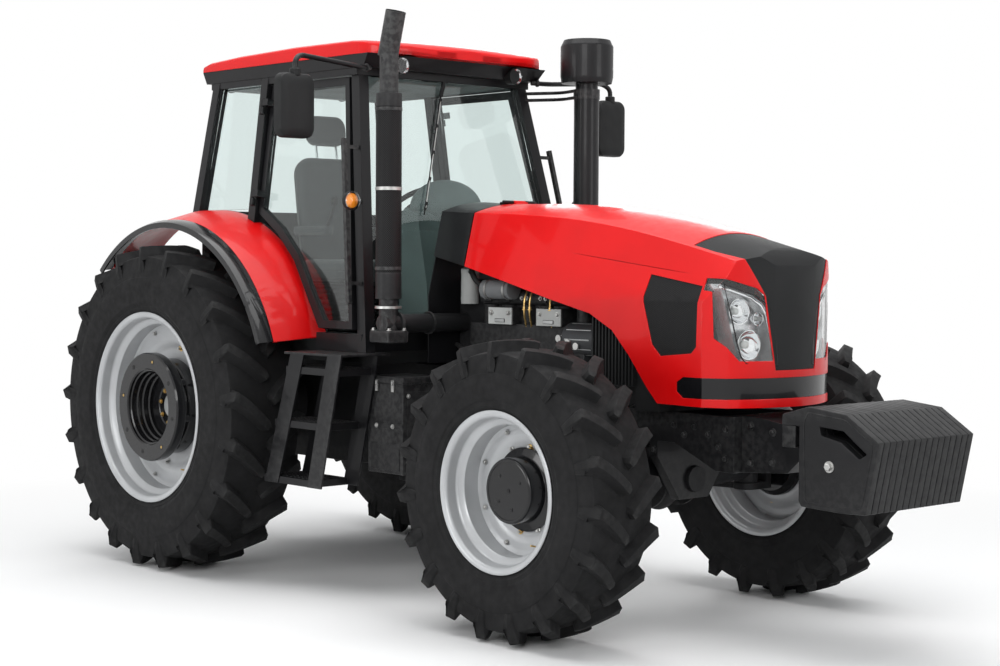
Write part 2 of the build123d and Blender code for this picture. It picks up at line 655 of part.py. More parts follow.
# Dashboard with its cowl and steering column
COLUMN_FOOT = Vector(1140, 0, 1640)
WHEEL_CENTRE = Vector(900, 0, 1900)
with BuildPart() as dashboard:
    with BuildSketch(Plane.XZ):
        with BuildLine():
            Polyline((1040, FLOOR_TOP), (1320, FLOOR_TOP), (1280, 1560), (1210, 1900), (1110, 1930), (1010, 1840),
                     (1080, 1600), close=True)
        make_face()
    extrude(amount=250, both=True)
    column = WHEEL_CENTRE - COLUMN_FOOT
    with BuildSketch(Plane(origin=COLUMN_FOOT, z_dir=column)):
        Circle(35)
    extrude(amount=column.length - 20)
write(dashboard.part, "dashboard")

with BuildPart() as steering_wheel:
    with BuildSketch(Plane(origin=WHEEL_CENTRE - column.normalized() * 19.6, z_dir=column)):
        Circle(40)
    extrude(amount=45)
    with BuildSketch(Plane(origin=WHEEL_CENTRE, z_dir=column)):
        Rectangle(370, 30)
        Rectangle(30, 370)
    extrude(amount=12)
    with BuildLine(Plane(origin=WHEEL_CENTRE + column.normalized() * 6, z_dir=column)):
        rim_path = CenterArc((0, 0), 190, 0, 360)
    with BuildSketch(Plane(origin=rim_path @ 0, z_dir=rim_path % 0)):
        Circle(14)
    sweep()
write(steering_wheel.part, "steering_wheel")

# Hood and cowl: one form lofted over sections from the cab to the nose
HOOD_SKIN = 10
PANEL_RECESS = 3
COWL_REAR = 1466
HOOD_REAR = 1715
HOOD_GAP = 6
HOOD_LIP = 1035
HOOD_STATIONS = (
    (1440, 1958, 1905, 300, 402),
    (2087, 1934, 1876, 305, 412),
    (2751, 1871, 1805, 312, 415),
    (3186, 1778, 1715, 318, 411),
    (3540, 1690, 1630, 310, 398),
)
NOSE_X = 3492
NOSE_CORNER = (3385, 350)
CHEEK = (3280, 404)


def hood_form(inset):
    """The hood's outer form, or its inner one when inset."""
    with BuildPart() as form:
        for x, top, shoulder, shoulder_y, side_y in HOOD_STATIONS:
            half = side_y - inset
            knee = shoulder_y - inset
            with BuildSketch(Plane.YZ.offset(x)):
                with BuildLine():
                    Polyline((knee, shoulder - inset), (half, 1480), (half, 900), (-half, 900), (-half, 1480),
                             (-knee, shoulder - inset))
                    ThreePointArc((-knee, shoulder - inset), (0, top - inset), (knee, shoulder - inset))
                make_face()
        loft()
        corner_x, corner_y = NOSE_CORNER[0] - inset, NOSE_CORNER[1] - inset
        cheek_x, cheek_y = CHEEK[0], CHEEK[1] + 14 - inset
        with BuildSketch(Plane.XY.offset(800)):
            with BuildLine():
                Polyline((corner_x, -corner_y), (cheek_x, -cheek_y), (cheek_x, -600), (1000, -600), (1000, 600),
                         (cheek_x, 600), (cheek_x, cheek_y), (corner_x, corner_y))
                ThreePointArc((corner_x, corner_y), (NOSE_X - inset, 0), (corner_x, -corner_y))
            make_face()
        extrude(amount=1400, mode=Mode.INTERSECT)
        with BuildSketch(Plane.XZ):
            with BuildLine():
                Polyline((3290, 1753 - inset), (3290, 2200), (1000, 2200), (1000, 800), (NOSE_X - inset, 800),
                         (NOSE_X - inset, 1580))
                ThreePointArc((NOSE_X - inset, 1580), (3455 - inset, 1682 - inset), (3290, 1753 - inset))
            make_face()
        extrude(amount=700, both=True, mode=Mode.INTERSECT)
    return form.part


outer_form = hood_form(0)
recessed_form = hood_form(PANEL_RECESS)
inner_form = hood_form(HOOD_SKIN)

# Hinge between cowl and hood: knuckles on one pin along the top seam
HINGE_X = HOOD_REAR - HOOD_GAP / 2
HINGE_Z = 1950
HINGE_LEAF_Z = 1930
HINGE_RADIUS = 8
HINGE_PIN_RADIUS = 4
HINGE_HALF_LENGTH = 110
HOOD_KNUCKLE_HALF = 40


def hinge_rod(radius, low_y, high_y):
    """A round rod on the hood's hinge line."""
    with BuildPart() as rod:
        with BuildSketch(Plane.XZ.offset(-high_y)):
            with Locations((HINGE_X, HINGE_Z)):
                Circle(radius)
        extrude(amount=high_y - low_y)
    return rod.part


def hinge_leaf(low_x, high_x, low_y, high_y):
    """A leaf that ties a knuckle into the skin beside it."""
    with BuildPart() as leaf:
        with BuildSketch(Plane.XZ.offset(-high_y)):
            with BuildLine():
                Polyline((low_x, HINGE_LEAF_Z), (high_x, HINGE_LEAF_Z), (high_x, HINGE_Z), (low_x, HINGE_Z), close=True)
            make_face()
        extrude(amount=high_y - low_y)
    return leaf.part


# Openings in the hood, as the solids that cut them
with BuildPart() as nose_cut:
    with BuildSketch(Plane.YZ.offset(3150)):
        with BuildLine():
            Polyline((-133, 1190), (-187, 1513), (-300, 1700), (-300, 1850), (300, 1850), (300, 1700), (187, 1513),
                     (133, 1190), close=True)
        make_face()
    extrude(amount=500)
with BuildPart() as lamp_cut:
    with BuildSketch(Plane.YZ.offset(3280)):
        with BuildLine():
            Polyline((143, 1232), (192, 1513), (230, 1545), (372, 1590), (385, 1560), (380, 1330), (300, 1232),
                     close=True)
        make_face()
        mirror(about=Plane.YZ)
    extrude(amount=400)
with BuildPart() as grille_cut:
    with BuildSketch(Plane.XZ):
        with BuildLine():
            Polyline((2965, 1600), (3270, 1552), (3262, 1290), (3235, 1262), (3060, 1244), (3010, 1293),
                     (2950, 1501), close=True)
        make_face()
    extrude(amount=600, both=True)
with BuildPart() as bumper_cut:
    with BuildSketch(Plane.XZ):
        with BuildLine():
            Polyline((3155, 1095), (3190, 1068), (3600, 1068), (3600, 1158), (3190, 1158), (3155, 1135), close=True)
        make_face()
    extrude(amount=600, both=True)
with BuildPart() as lower_cut:
    with BuildSketch(Plane.XZ):
        with BuildLine():
            Polyline((1300, 700), (1300, 1710), (HOOD_REAR, 1627), (2020, 1558), (2311, 1490), (2624, 1419),
                     (2766, 1347), (2871, 1238), (2975, 1107), (3042, HOOD_LIP), (3700, HOOD_LIP - 8), (3700, 700),
                     close=True)
        make_face()
    extrude(amount=600, both=True)


def skin_between(outside, inside, low_x, high_x):
    """The hood's skin between two forms and two stations, cut along its lower edge."""
    with BuildPart() as skin:
        add(outside)
        add(inside, mode=Mode.SUBTRACT)
        add(lower_cut.part, mode=Mode.SUBTRACT)
        with BuildSketch(Plane.YZ.offset(low_x)):
            Rectangle(2000, 5000)
        extrude(amount=high_x - low_x, mode=Mode.INTERSECT)
    return skin.part


with BuildPart() as hood_shell:
    add(skin_between(outer_form, inner_form, HOOD_REAR, 3600))
    for cut in (nose_cut, lamp_cut, grille_cut, bumper_cut):
        add(cut.part, mode=Mode.SUBTRACT)
    add(hinge_rod(HINGE_RADIUS + 3, -HINGE_HALF_LENGTH - 2, HINGE_HALF_LENGTH + 2), mode=Mode.SUBTRACT)
    add(hinge_leaf(HINGE_X, HINGE_X + 24, -HOOD_KNUCKLE_HALF, HOOD_KNUCKLE_HALF))
    add(hinge_rod(HINGE_RADIUS, -HOOD_KNUCKLE_HALF, HOOD_KNUCKLE_HALF))
    add(hinge_rod(HINGE_PIN_RADIUS + FIT, -HOOD_KNUCKLE_HALF, HOOD_KNUCKLE_HALF), mode=Mode.SUBTRACT)
write(hood_shell.part, "hood_shell")

panel_skin = skin_between(recessed_form, inner_form, HOOD_REAR, 3600)
for cut, name in ((nose_cut, "nose_panel"), (lamp_cut, "headlamps"), (grille_cut, "side_grilles"),
                  (bumper_cut, "bumper_insert")):
    with BuildPart() as panel:
        add(panel_skin)
        add(cut.part, mode=Mode.INTERSECT)
        if cut is lamp_cut:
            add(nose_cut.part, mode=Mode.SUBTRACT)
    write(panel.part, name)

# Cowl between cab and hood, on the wall behind the engine
with BuildPart() as cowl:
    add(skin_between(outer_form, inner_form, COWL_REAR, HOOD_REAR - HOOD_GAP))
    add(hinge_rod(HINGE_RADIUS + 3, -HOOD_KNUCKLE_HALF - 2, HOOD_KNUCKLE_HALF + 2), mode=Mode.SUBTRACT)
    for low_y in (-HINGE_HALF_LENGTH, HOOD_KNUCKLE_HALF + 2):
        high_y = low_y + HINGE_HALF_LENGTH - HOOD_KNUCKLE_HALF - 2
        add(hinge_leaf(HINGE_X - 24, HINGE_X, low_y, high_y))
        add(hinge_rod(HINGE_RADIUS, low_y, high_y))
    add(hinge_rod(HINGE_PIN_RADIUS, -HINGE_HALF_LENGTH, HINGE_HALF_LENGTH))
    with BuildSketch(Plane.YZ.offset(COWL_REAR)):
        with BuildLine():
            Polyline((392, 1140), (392, 1480), (290, 1896), (-290, 1896), (-392, 1480), (-392, 1140), close=True)
        make_face()
    extrude(amount=6)
    with BuildSketch(Plane.XY.offset(1140)):
        with Locations(((CAB_FRONT + COWL_REAR) / 2, 0)):
            Rectangle(COWL_REAR - CAB_FRONT, 600)
    extrude(amount=60)
write(cowl.part, "cowl")

# Exhaust and intake stacks
EXHAUST_X = 1520
EXHAUST_Y = -690
SLEEVE_RADIUS = 64
PIPE_RADIUS = 46
INTAKE_X = 1500
INTAKE_Y = 690
with BuildPart() as exhaust_stack:
    with BuildSketch(Plane(origin=(EXHAUST_X, EXHAUST_Y, 1468))):
        Circle(SLEEVE_RADIUS)
    extrude(amount=1000)
    with BuildLine(Plane(origin=(EXHAUST_X, EXHAUST_Y, 2680), x_dir=(1, 0, 0), z_dir=(0, -1, 0))) as pipe_path:
        Line((0, -1380), (0, 0))
        CenterArc((250, 0), 250, 180, -42)
    with BuildSketch(Plane(origin=(EXHAUST_X, EXHAUST_Y, 1300))):
        Circle(PIPE_RADIUS)
    sweep(path=pipe_path.wires()[0])
    with BuildSketch(Plane(origin=(EXHAUST_X, EXHAUST_Y, 1346), z_dir=(0, 1, 0))):
        Circle(PIPE_RADIUS)
    extrude(amount=-EXHAUST_Y - ENGINE_HALF_WIDTH)
write(exhaust_stack.part, "exhaust_stack")

with BuildPart() as intake_stack:
    with BuildSketch(Plane.XZ.offset(-INTAKE_Y)):
        with BuildLine():
            Polyline((INTAKE_X, 1250), (INTAKE_X + 68, 1250), (INTAKE_X + 68, 2560), (INTAKE_X + 60, 2560),
                     (INTAKE_X + 60, 2606), (INTAKE_X + 135, 2606), (INTAKE_X + 142, 2640),
                     (INTAKE_X + 142, 2800), (INTAKE_X + 125, 2836), (INTAKE_X, 2836), close=True)
        make_face()
    revolve(axis=Axis((INTAKE_X, INTAKE_Y, 0), (0, 0, 1)))
    with BuildSketch(Plane(origin=(INTAKE_X + 32, INTAKE_Y, 1310), z_dir=(0, -1, 0))):
        Circle(50)
    extrude(amount=INTAKE_Y - ENGINE_HALF_WIDTH)
write(intake_stack.part, "intake_stack")

# Mirrors on their arms
with BuildPart() as mirrors:
    for side in (1, -1):
        with BuildSketch(Plane(origin=(1290, side * 1100, 2230))):
            Rectangle(60, 180)
        extrude(amount=320)
        with BuildSketch(Plane.YZ.offset(1250)):
            with BuildLine():
                Polyline((side * 556, 2570), (side * 1110, 2570), (side * 1110, 2540), (side * 1090, 2540),
                         (side * 556, 2540), close=True)
            make_face()
        extrude(amount=40)
        with BuildSketch(Plane.XY.offset(2540)):
            with Locations((1180, side * 575)):
                Rectangle(160, 30)
        extrude(amount=30)
    add(cab_frame.part, mode=Mode.SUBTRACT)
write(Compound(mirrors.part.solids().sort_by(SortBy.VOLUME)[-2:]), "mirrors")

# Lamps under the roof's front edge
with BuildPart() as work_lamps:
    for side in (1, -1):
        with BuildSketch(Plane.YZ.offset(1262)):
            with Locations((side * 393, 2640)):
                Circle(45)
        extrude(amount=-60)
    add(cab_frame.part, mode=Mode.SUBTRACT)
write(Compound(work_lamps.part.solids().sort_by(SortBy.VOLUME)[-2:]), "work_lamps")

with BuildPart() as turn_lamps:
    for side in (1, -1):
        with BuildSketch(Plane.YZ.offset(1330)):
            with Locations((side * 787, 1946)):
                Circle(48)
        extrude(amount=50)
        add(post((1240, side * 630, 1946), (1345, side * 760, 1946), 16))
    add(cab_frame.part, mode=Mode.SUBTRACT)
write(Compound(turn_lamps.part.solids().sort_by(SortBy.VOLUME)[-2:]), "turn_lamps")

# Steps on both sides, hung under the cab's sill
STEP_INNER = 730
STEP_OUTER = 965
STEP_PLATE = 5
PLATFORM_Z = SILL_BASE - 12
with BuildPart() as steps:
    for side in (1, -1):
        for low, high in (((1285, 538), (1480, PLATFORM_Z)), ((930, 538), (1180, PLATFORM_Z))):
            for reach in (STEP_INNER + STEP_PLATE, STEP_OUTER - STEP_PLATE):
                with BuildSketch(Plane.XZ.offset(-side * reach)):
                    with BuildLine():
                        Polyline((low[0] - 55, low[1]), (low[0] + 55, low[1]), (high[0] + 20, high[1]),
                                 (high[0] - 90, high[1]), close=True)
                    make_face()
                extrude(amount=STEP_PLATE, both=True)
        for x, z in ((1250, 1128), (1155, 858), (1065, 573)):
            with BuildSketch(Plane(origin=(x, side * (STEP_INNER + STEP_OUTER) / 2, z))):
                Rectangle(400, STEP_OUTER - STEP_INNER - 2 * STEP_PLATE)
            extrude(amount=-35)
        with BuildSketch(Plane(origin=(1270, side * (660 + STEP_OUTER) / 2, PLATFORM_Z))):
            Rectangle(460, STEP_OUTER - 660)
        extrude(amount=12)
write(steps.part, "steps")

# Battery box on the right and fuel tank on the left, each on a bracket to the engine's side
with BuildPart() as battery_box:
    with BuildSketch(Plane(origin=(1540, -600, 618))):
        Rectangle(269, 245)
    extrude(amount=473)
    with BuildSketch(Plane(origin=(1540, -335, 760))):
        Rectangle(100, 290)
    extrude(amount=60)
write(battery_box.part, "battery_box")

with BuildPart() as fuel_tank:
    with BuildSketch(Plane(origin=(1560, 600, 600))):
        Rectangle(300, 260)
    extrude(amount=520)
    fillet(fuel_tank.edges().filter_by(Axis.Z), 30)
    with BuildSketch(Plane(origin=(1560, 335, 760))):
        Rectangle(100, 290)
    extrude(amount=60)
write(fuel_tank.part, "fuel_tank")

# Rear hitch: drawbar, top link and lift arms on the axle housing
with BuildPart() as hitch:
    with BuildSketch(Plane.XY.offset(460)):
        with Locations((-610, 0)):
            Rectangle(600, 90)
    extrude(amount=40)
    with BuildSketch(Plane.XY.offset(460)):
        with Locations((-360, 0)):
            Rectangle(60, 260)
    extrude(amount=240)
    with BuildSketch(Plane.XY.offset(440)):
        with Locations((-870, 0)):
            Circle(16)
    extrude(amount=80, mode=Mode.SUBTRACT)
    with BuildSketch(Plane.XZ):
        with Locations(LIFT_SHAFT):
            Circle(LIFT_SHAFT_RADIUS)
    extrude(amount=330, both=True)
    for side in (1, -1):
        with BuildSketch(Plane.XZ.offset(-side * 300)):
            with BuildLine():
                Polyline((-235, 1120), (-235, 1180), (-620, 1170), (-620, 1110), close=True)
            make_face()
        extrude(amount=20, both=True)
write(hitch.part, "hitch")

with BuildPart() as lower_links:
    for side in (1, -1):
        with BuildSketch(Plane.XZ.offset(-side * 330)):
            with BuildLine():
                Polyline((-200, 580), (-200, 640), (REAR_END, 560), (REAR_END, 500), close=True)
            make_face()
        extrude(amount=18, both=True)
    with BuildSketch(Plane.XZ):
        with Locations(LINK_SHAFT):
            Circle(LINK_SHAFT_RADIUS)
    extrude(amount=330, both=True)
write(lower_links.part, "lower_links")

with BuildPart() as wiper:
    add(post((1122, 0, 2612), (1268, -250, 1890), 14))
    add(cab_frame.part, mode=Mode.SUBTRACT)
write(wiper.part, "wiper")

# Grab rails beside the front pillars
with BuildPart() as grab_rails:
    for side in (1, -1):
        add(post((1345, side * 796, 1440), (1190, side * 710, 2260), 22))
        for z, x, y in ((1540, 1326, 740), (2220, 1197, 665)):
            with BuildSketch(Plane.YZ.offset(x - 9)):
                with Locations((side * y, z)):
                    Rectangle(110, 18)
            extrude(amount=18)
    add(cab_frame.part, mode=Mode.SUBTRACT)
write(Compound(grab_rails.part.solids().sort_by(SortBy.VOLUME)[-2:]), "grab_rails")

# Doors: a frame with the window cut through, hung at the B-pillar
DOOR_THICKNESS = 40
DOOR_SILL_Y = 742


def door_points(side, outline):
    """Lays an outline given as x and z on the leaning plane of the door."""
    return [(x, side * (DOOR_SILL_Y - DOOR_LEAN * (z - SILL_HEIGHT)), z) for x, z in outline]


door_outline = [(1325, SILL_HEIGHT), (1062, 2583), (398, 2583), (408, 1900)]
door_window = [(1288, 1350), (1035, 2540), (438, 2540), (446, 1925)]
for degrees in (57, 45, 33):
    along, up = cos(radians(degrees)), sin(radians(degrees))
    door_outline.append((FENDER_X + 1052 * along, FENDER_Z + 1052 * up))
    door_window.append((FENDER_X + 1096 * along, FENDER_Z + 1096 * up))
door_outline.append((1050, SILL_HEIGHT))
door_window.append((1085, 1350))
for side, word in ((1, "left"), (-1, "right")):
    window_hole = pane(door_points(side, door_window), DOOR_THICKNESS + 20)
    with BuildPart() as door_frame:
        add(pane(door_points(side, door_outline), DOOR_THICKNESS))
        add(window_hole, mode=Mode.SUBTRACT)
        for z in DOOR_HINGE_HEIGHTS:
            with BuildSketch(hinge_plane(side, z)):
                Circle(KNUCKLE_RADIUS)
                with Locations((28, 0)):
                    Rectangle(56, 22)
                with Locations((42, -side * 17)):
                    Rectangle(28, 54)
                Circle(DOOR_PIN_RADIUS + FIT, mode=Mode.SUBTRACT)
            extrude(amount=KNUCKLE_HEIGHT - 6)
    write(door_frame.part, f"door_frame_{word}")
    write(pane(door_points(side, door_window), GLASS_THICKNESS), f"door_glass_{word}")
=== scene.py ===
import json
from math import cos, degrees, hypot, pi, radians, sin, tan

import bmesh
import bpy
from mathutils import Matrix, Vector


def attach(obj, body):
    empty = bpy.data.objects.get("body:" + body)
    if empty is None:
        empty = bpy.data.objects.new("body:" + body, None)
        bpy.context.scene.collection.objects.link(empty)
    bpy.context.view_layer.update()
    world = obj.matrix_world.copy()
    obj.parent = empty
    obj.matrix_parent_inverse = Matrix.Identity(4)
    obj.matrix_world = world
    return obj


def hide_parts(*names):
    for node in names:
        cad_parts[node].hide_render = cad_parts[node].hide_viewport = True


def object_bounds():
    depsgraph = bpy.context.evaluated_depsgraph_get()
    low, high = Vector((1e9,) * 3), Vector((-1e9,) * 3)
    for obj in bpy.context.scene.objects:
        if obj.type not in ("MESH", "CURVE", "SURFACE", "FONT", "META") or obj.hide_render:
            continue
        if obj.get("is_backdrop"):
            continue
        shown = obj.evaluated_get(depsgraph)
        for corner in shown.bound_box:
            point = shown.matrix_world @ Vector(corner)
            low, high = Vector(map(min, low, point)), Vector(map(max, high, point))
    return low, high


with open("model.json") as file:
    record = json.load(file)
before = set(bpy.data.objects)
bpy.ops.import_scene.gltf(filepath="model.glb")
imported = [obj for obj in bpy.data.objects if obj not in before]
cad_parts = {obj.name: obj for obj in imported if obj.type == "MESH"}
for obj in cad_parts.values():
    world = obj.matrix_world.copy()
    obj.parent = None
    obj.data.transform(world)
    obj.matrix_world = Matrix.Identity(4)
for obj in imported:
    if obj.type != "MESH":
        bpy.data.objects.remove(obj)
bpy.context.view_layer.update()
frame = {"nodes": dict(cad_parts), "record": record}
scene = bpy.context.scene

# Dimensions are in millimetres, x forward from the rear axle, y to the left, z up from the ground
AXLE_SHIFT = -1.617
WHEELBASE = 2690
REAR = dict(x=0, track=907, tip=865, bead=483, rim=216, section=233, tread=210, lug=46, width=44, count=21)
FRONT = dict(x=WHEELBASE, track=879, tip=660, bead=330, rim=178, section=189, tread=172, lug=42, width=40, count=19)
SIDES = ((1, "left"), (-1, "right"))
UP, AHEAD, LEFT, RIGHT = (0, 0, 1), (1, 0, 0), (0, 1, 0), (0, -1, 0)
SQUARE = ((-1, -1), (1, -1), (1, 1), (-1, 1))
MIRROR_Y, MIRROR_Z = 1085, 2395
LAMP_Z = 2640
WHEEL_CENTRE = (900, 0, 1900)


# Materials
SHEEN = 0.2


def new_material(name):
    """A new material, its node tree, its shader and its object coordinates."""
    made = bpy.data.materials.new(name)
    made.use_nodes = True
    tree = made.node_tree
    place = tree.nodes.new("ShaderNodeTexCoord")
    return made, tree, tree.nodes["Principled BSDF"], place.outputs["Object"]


def settle(node, values):
    """Sets a node's inputs by name."""
    for key, value in values.items():
        node.inputs[key].default_value = value


def noise(tree, place, scale, detail=5.0):
    """A noise texture's value."""
    node = tree.nodes.new("ShaderNodeTexNoise")
    settle(node, {"Scale": scale, "Detail": detail})
    tree.links.new(place, node.inputs["Vector"])
    return node.outputs["Fac"]


def remap(tree, value, low, high, to_low, to_high):
    """The value moved from one range to another."""
    node = tree.nodes.new("ShaderNodeMapRange")
    settle(node, {"From Min": low, "From Max": high, "To Min": to_low, "To Max": to_high})
    tree.links.new(value, node.inputs["Value"])
    return node.outputs["Result"]


def blend(tree, factor, first, second):
    """A mix of two colours; each is a colour or a socket."""
    node = tree.nodes.new("ShaderNodeMix")
    node.data_type = "RGBA"
    tree.links.new(factor, node.inputs[0])
    for socket, colour in ((node.inputs[6], first), (node.inputs[7], second)):
        if isinstance(colour, bpy.types.NodeSocket):
            tree.links.new(colour, socket)
        else:
            socket.default_value = (*colour, 1)
    return node.outputs[2]


def calc(tree, operation, first, second=0.0):
    """A math node over two values."""
    node = tree.nodes.new("ShaderNodeMath")
    node.operation = operation
    for socket, value in ((node.inputs[0], first), (node.inputs[1], second)):
        if isinstance(value, bpy.types.NodeSocket):
            tree.links.new(value, socket)
        else:
            socket.default_value = value
    return node.outputs[0]


def add_bump(tree, shader, height, distance, strength=0.6):
    """Surface relief from a height value, its distance in metres."""
    node = tree.nodes.new("ShaderNodeBump")
    settle(node, {"Strength": strength, "Distance": distance})
    tree.links.new(height, node.inputs["Height"])
    tree.links.new(node.outputs["Normal"], shader.inputs["Normal"])


def coordinates(tree, place):
    """The x, y and z of a place."""
    split = tree.nodes.new("ShaderNodeSeparateXYZ")
    tree.links.new(place, split.inputs[0])
    return split.outputs


def send_mix(tree, factor, first, second, output="Material Output"):
    """Sends a mix of two shaders to the tree's output."""
    mix = tree.nodes.new("ShaderNodeMixShader")
    for source, socket in ((factor, mix.inputs["Fac"]), (first, mix.inputs[1]), (second, mix.inputs[2]),
                           (mix.outputs["Shader"], tree.nodes[output].inputs["Surface"])):
        tree.links.new(source, socket)


def white_rays(tree):
    """One for the rays that see the white surround: camera, glass and metal."""
    ray = tree.nodes.new("ShaderNodeLightPath").outputs
    straight = calc(tree, "MAXIMUM", ray["Is Camera Ray"], ray["Is Transmission Ray"])
    return calc(tree, "MAXIMUM", straight, ray["Is Glossy Ray"])


def shades(colour, low, high):
    """A colour made darker and lighter."""
    return [tuple(min(1.0, c * share) for c in colour) for share in (low, high)]


def surface(name, colour, rough, metal=0.0, coat=0.0, vary=0.12, scale=5.0, relief=0.0002, grain=300.0, edge=None):
    """A finish with mottled colour, uneven roughness, fine relief and, if an edge colour is given, sharp edges
    lightened partly as wear and partly as a painted glint.
    """
    made, tree, shader, place = new_material(name)
    mottle = remap(tree, noise(tree, place, scale), 0.35, 0.65, 0, 1)
    shade = blend(tree, mottle, *shades(colour, 1 - vary, 1 + vary))
    # Sharp edges lightened to the edge colour: partly worn paint or dust, partly a painted glint of light along them
    if edge:
        geometry = tree.nodes.new("ShaderNodeNewGeometry")
        edge_wear_and_glint = remap(tree, geometry.outputs["Pointiness"], 0.53, 0.60, 0, 0.7)
        broken = calc(tree, "MULTIPLY", edge_wear_and_glint, remap(tree, noise(tree, place, 40), 0.4, 0.6, 0.2, 1))
        shade = blend(tree, broken, shade, edge)
    tree.links.new(shade, shader.inputs["Base Color"])
    tree.links.new(remap(tree, noise(tree, place, scale * 4), 0.3, 0.7, rough * 0.85, min(1.0, rough * 1.15)),
                   shader.inputs["Roughness"])
    settle(shader, {"Metallic": metal, "Specular IOR Level": SHEEN, "Coat Weight": coat, "Coat Roughness": 0.06})
    add_bump(tree, shader, noise(tree, place, grain, 3.0), relief)
    return made


def red_finish(name):
    """The tractor's red paint."""
    return surface(name, (0.66, 0.003, 0.004), 0.36, coat=0.2, vary=0.04, relief=0.00002, grain=160)


red_paint = red_finish("red_paint")
# The edge colours of black paint, cast black, rubber and pipe paint lighten sharp edges, partly as wear and dust and
# partly as a painted glint
black_paint = surface("black_paint", (0.007, 0.007, 0.008), 0.42, coat=0.1, edge=(0.06, 0.06, 0.06))
gloss_black = surface("gloss_black", (0.006, 0.006, 0.007), 0.24, coat=0.4, vary=0.08, relief=0.00002)
satin_black = surface("satin_black", (0.007, 0.007, 0.008), 0.42, coat=0.1, vary=0.1, relief=0.00006, grain=260)
black_plastic = surface("black_plastic", (0.012, 0.0125, 0.013), 0.55, relief=0.0004, grain=420)
cast_black = surface("cast_black", (0.011, 0.011, 0.012), 0.52, relief=0.0009, grain=130, edge=(0.05, 0.05, 0.05))
engine_grey = surface("engine_grey", (0.055, 0.057, 0.060), 0.5, metal=0.3, relief=0.0008, grain=140)
filter_grey = surface("filter_grey", (0.42, 0.43, 0.42), 0.5, vary=0.1, relief=0.0003)
label_grey = surface("label_grey", (0.16, 0.165, 0.17), 0.5, vary=0.1, relief=0.0003)
rubber = surface("rubber", (0.0095, 0.0095, 0.010), 0.8, vary=0.22, scale=7, relief=0.0006, grain=230,
                 edge=(0.035, 0.035, 0.035))
soft_rubber = surface("soft_rubber", (0.012, 0.012, 0.012), 0.6, relief=0.0003)
rim_paint = surface("rim_paint", (0.46, 0.47, 0.48), 0.36, metal=0.25, coat=0.15, vary=0.06, relief=0.0002,
                    grain=200)
bright_steel = surface("bright_steel", (0.55, 0.55, 0.54), 0.3, metal=1.0, vary=0.15, scale=40)
zinc = surface("zinc", (0.42, 0.42, 0.41), 0.42, metal=0.9, vary=0.2, scale=30)
brass = surface("brass", (0.62, 0.42, 0.16), 0.35, metal=1.0, vary=0.15, scale=40)
aluminium = surface("aluminium", (0.42, 0.43, 0.43), 0.45, metal=0.8, relief=0.0008, grain=120)
chrome = surface("chrome", (0.82, 0.83, 0.84), 0.08, metal=1.0, vary=0.03, relief=0.00004)
dash_plastic = surface("dash_plastic", (0.085, 0.105, 0.105), 0.62, relief=0.0005, grain=350)
liner = surface("liner", (0.22, 0.25, 0.25), 0.85, relief=0.0008, grain=500)
floor_mat = surface("floor_mat", (0.02, 0.021, 0.022), 0.85, relief=0.0012, grain=180)
reflector = surface("reflector", (0.62, 0.63, 0.64), 0.22, metal=0.85, vary=0.1, scale=30)
lens_amber = surface("lens_amber", (0.92, 0.27, 0.015), 0.3, coat=0.3, vary=0.05)
lens_red = surface("lens_red", (0.5, 0.01, 0.01), 0.25, coat=0.4, vary=0.05)
pipe_paint = surface("pipe_paint", (0.015, 0.015, 0.016), 0.45, relief=0.0003, edge=(0.08, 0.08, 0.08))


def clear_material(name, colour, tint):
    """Clear glass or plastic that lets lamps through in its tint."""
    made, tree, shader, place = new_material(name)
    settle(shader, {"Base Color": (*colour, 1), "Transmission Weight": 1.0, "IOR": 1.45, "Specular IOR Level": 0.12})
    tree.links.new(remap(tree, noise(tree, place, 9), 0.5, 0.8, 0.0, 0.03), shader.inputs["Roughness"])
    through = tree.nodes.new("ShaderNodeBsdfTransparent")
    settle(through, {"Color": (*tint, 1)})
    ray = tree.nodes.new("ShaderNodeLightPath")
    send_mix(tree, ray.outputs["Is Shadow Ray"], shader.outputs["BSDF"], through.outputs["BSDF"])
    return made


cab_glazing = clear_material("cab_glazing", (0.84, 0.90, 0.89), (0.86, 0.93, 0.91))
lens_clear = clear_material("lens_clear", (0.97, 0.98, 0.98), (0.97, 0.98, 0.98))


def pierced(name, colour, hole, pitch, centre=None):
    """A panel with a regular pattern of small holes; with a centre given, the pattern runs round an upright axis. The
    holes are painted near black, as painted shade inside them.
    """
    made, tree, shader, place = new_material(name)
    x, y, z = coordinates(tree, place)
    if centre:
        dx, dy = (calc(tree, "SUBTRACT", a, b) for a, b in zip((x, y), centre))
        across = calc(tree, "MULTIPLY", calc(tree, "ARCTAN2", dy, dx), centre[2])
    else:
        across = calc(tree, "ADD", x, y)
    waves = (calc(tree, "SINE", calc(tree, "MULTIPLY", calc(tree, way, across, z), pi / pitch))
             for way in ("ADD", "SUBTRACT"))
    dots = calc(tree, "MULTIPLY", *waves)
    holes = remap(tree, calc(tree, "ABSOLUTE", dots), hole - 0.15, hole + 0.15, 0, 1)
    mottle = blend(tree, noise(tree, place, 6), *shades(colour, 0.8, 1.25))
    # The holes are painted near black: painted shade inside the openings
    tree.links.new(blend(tree, holes, mottle, (0.002, 0.002, 0.002)), shader.inputs["Base Color"])
    tree.links.new(remap(tree, holes, 0, 1, 0.42, 0.8), shader.inputs["Roughness"])
    shader.inputs["Specular IOR Level"].default_value = 0.15
    add_bump(tree, shader, calc(tree, "MULTIPLY", holes, -1), 0.0012)
    return made


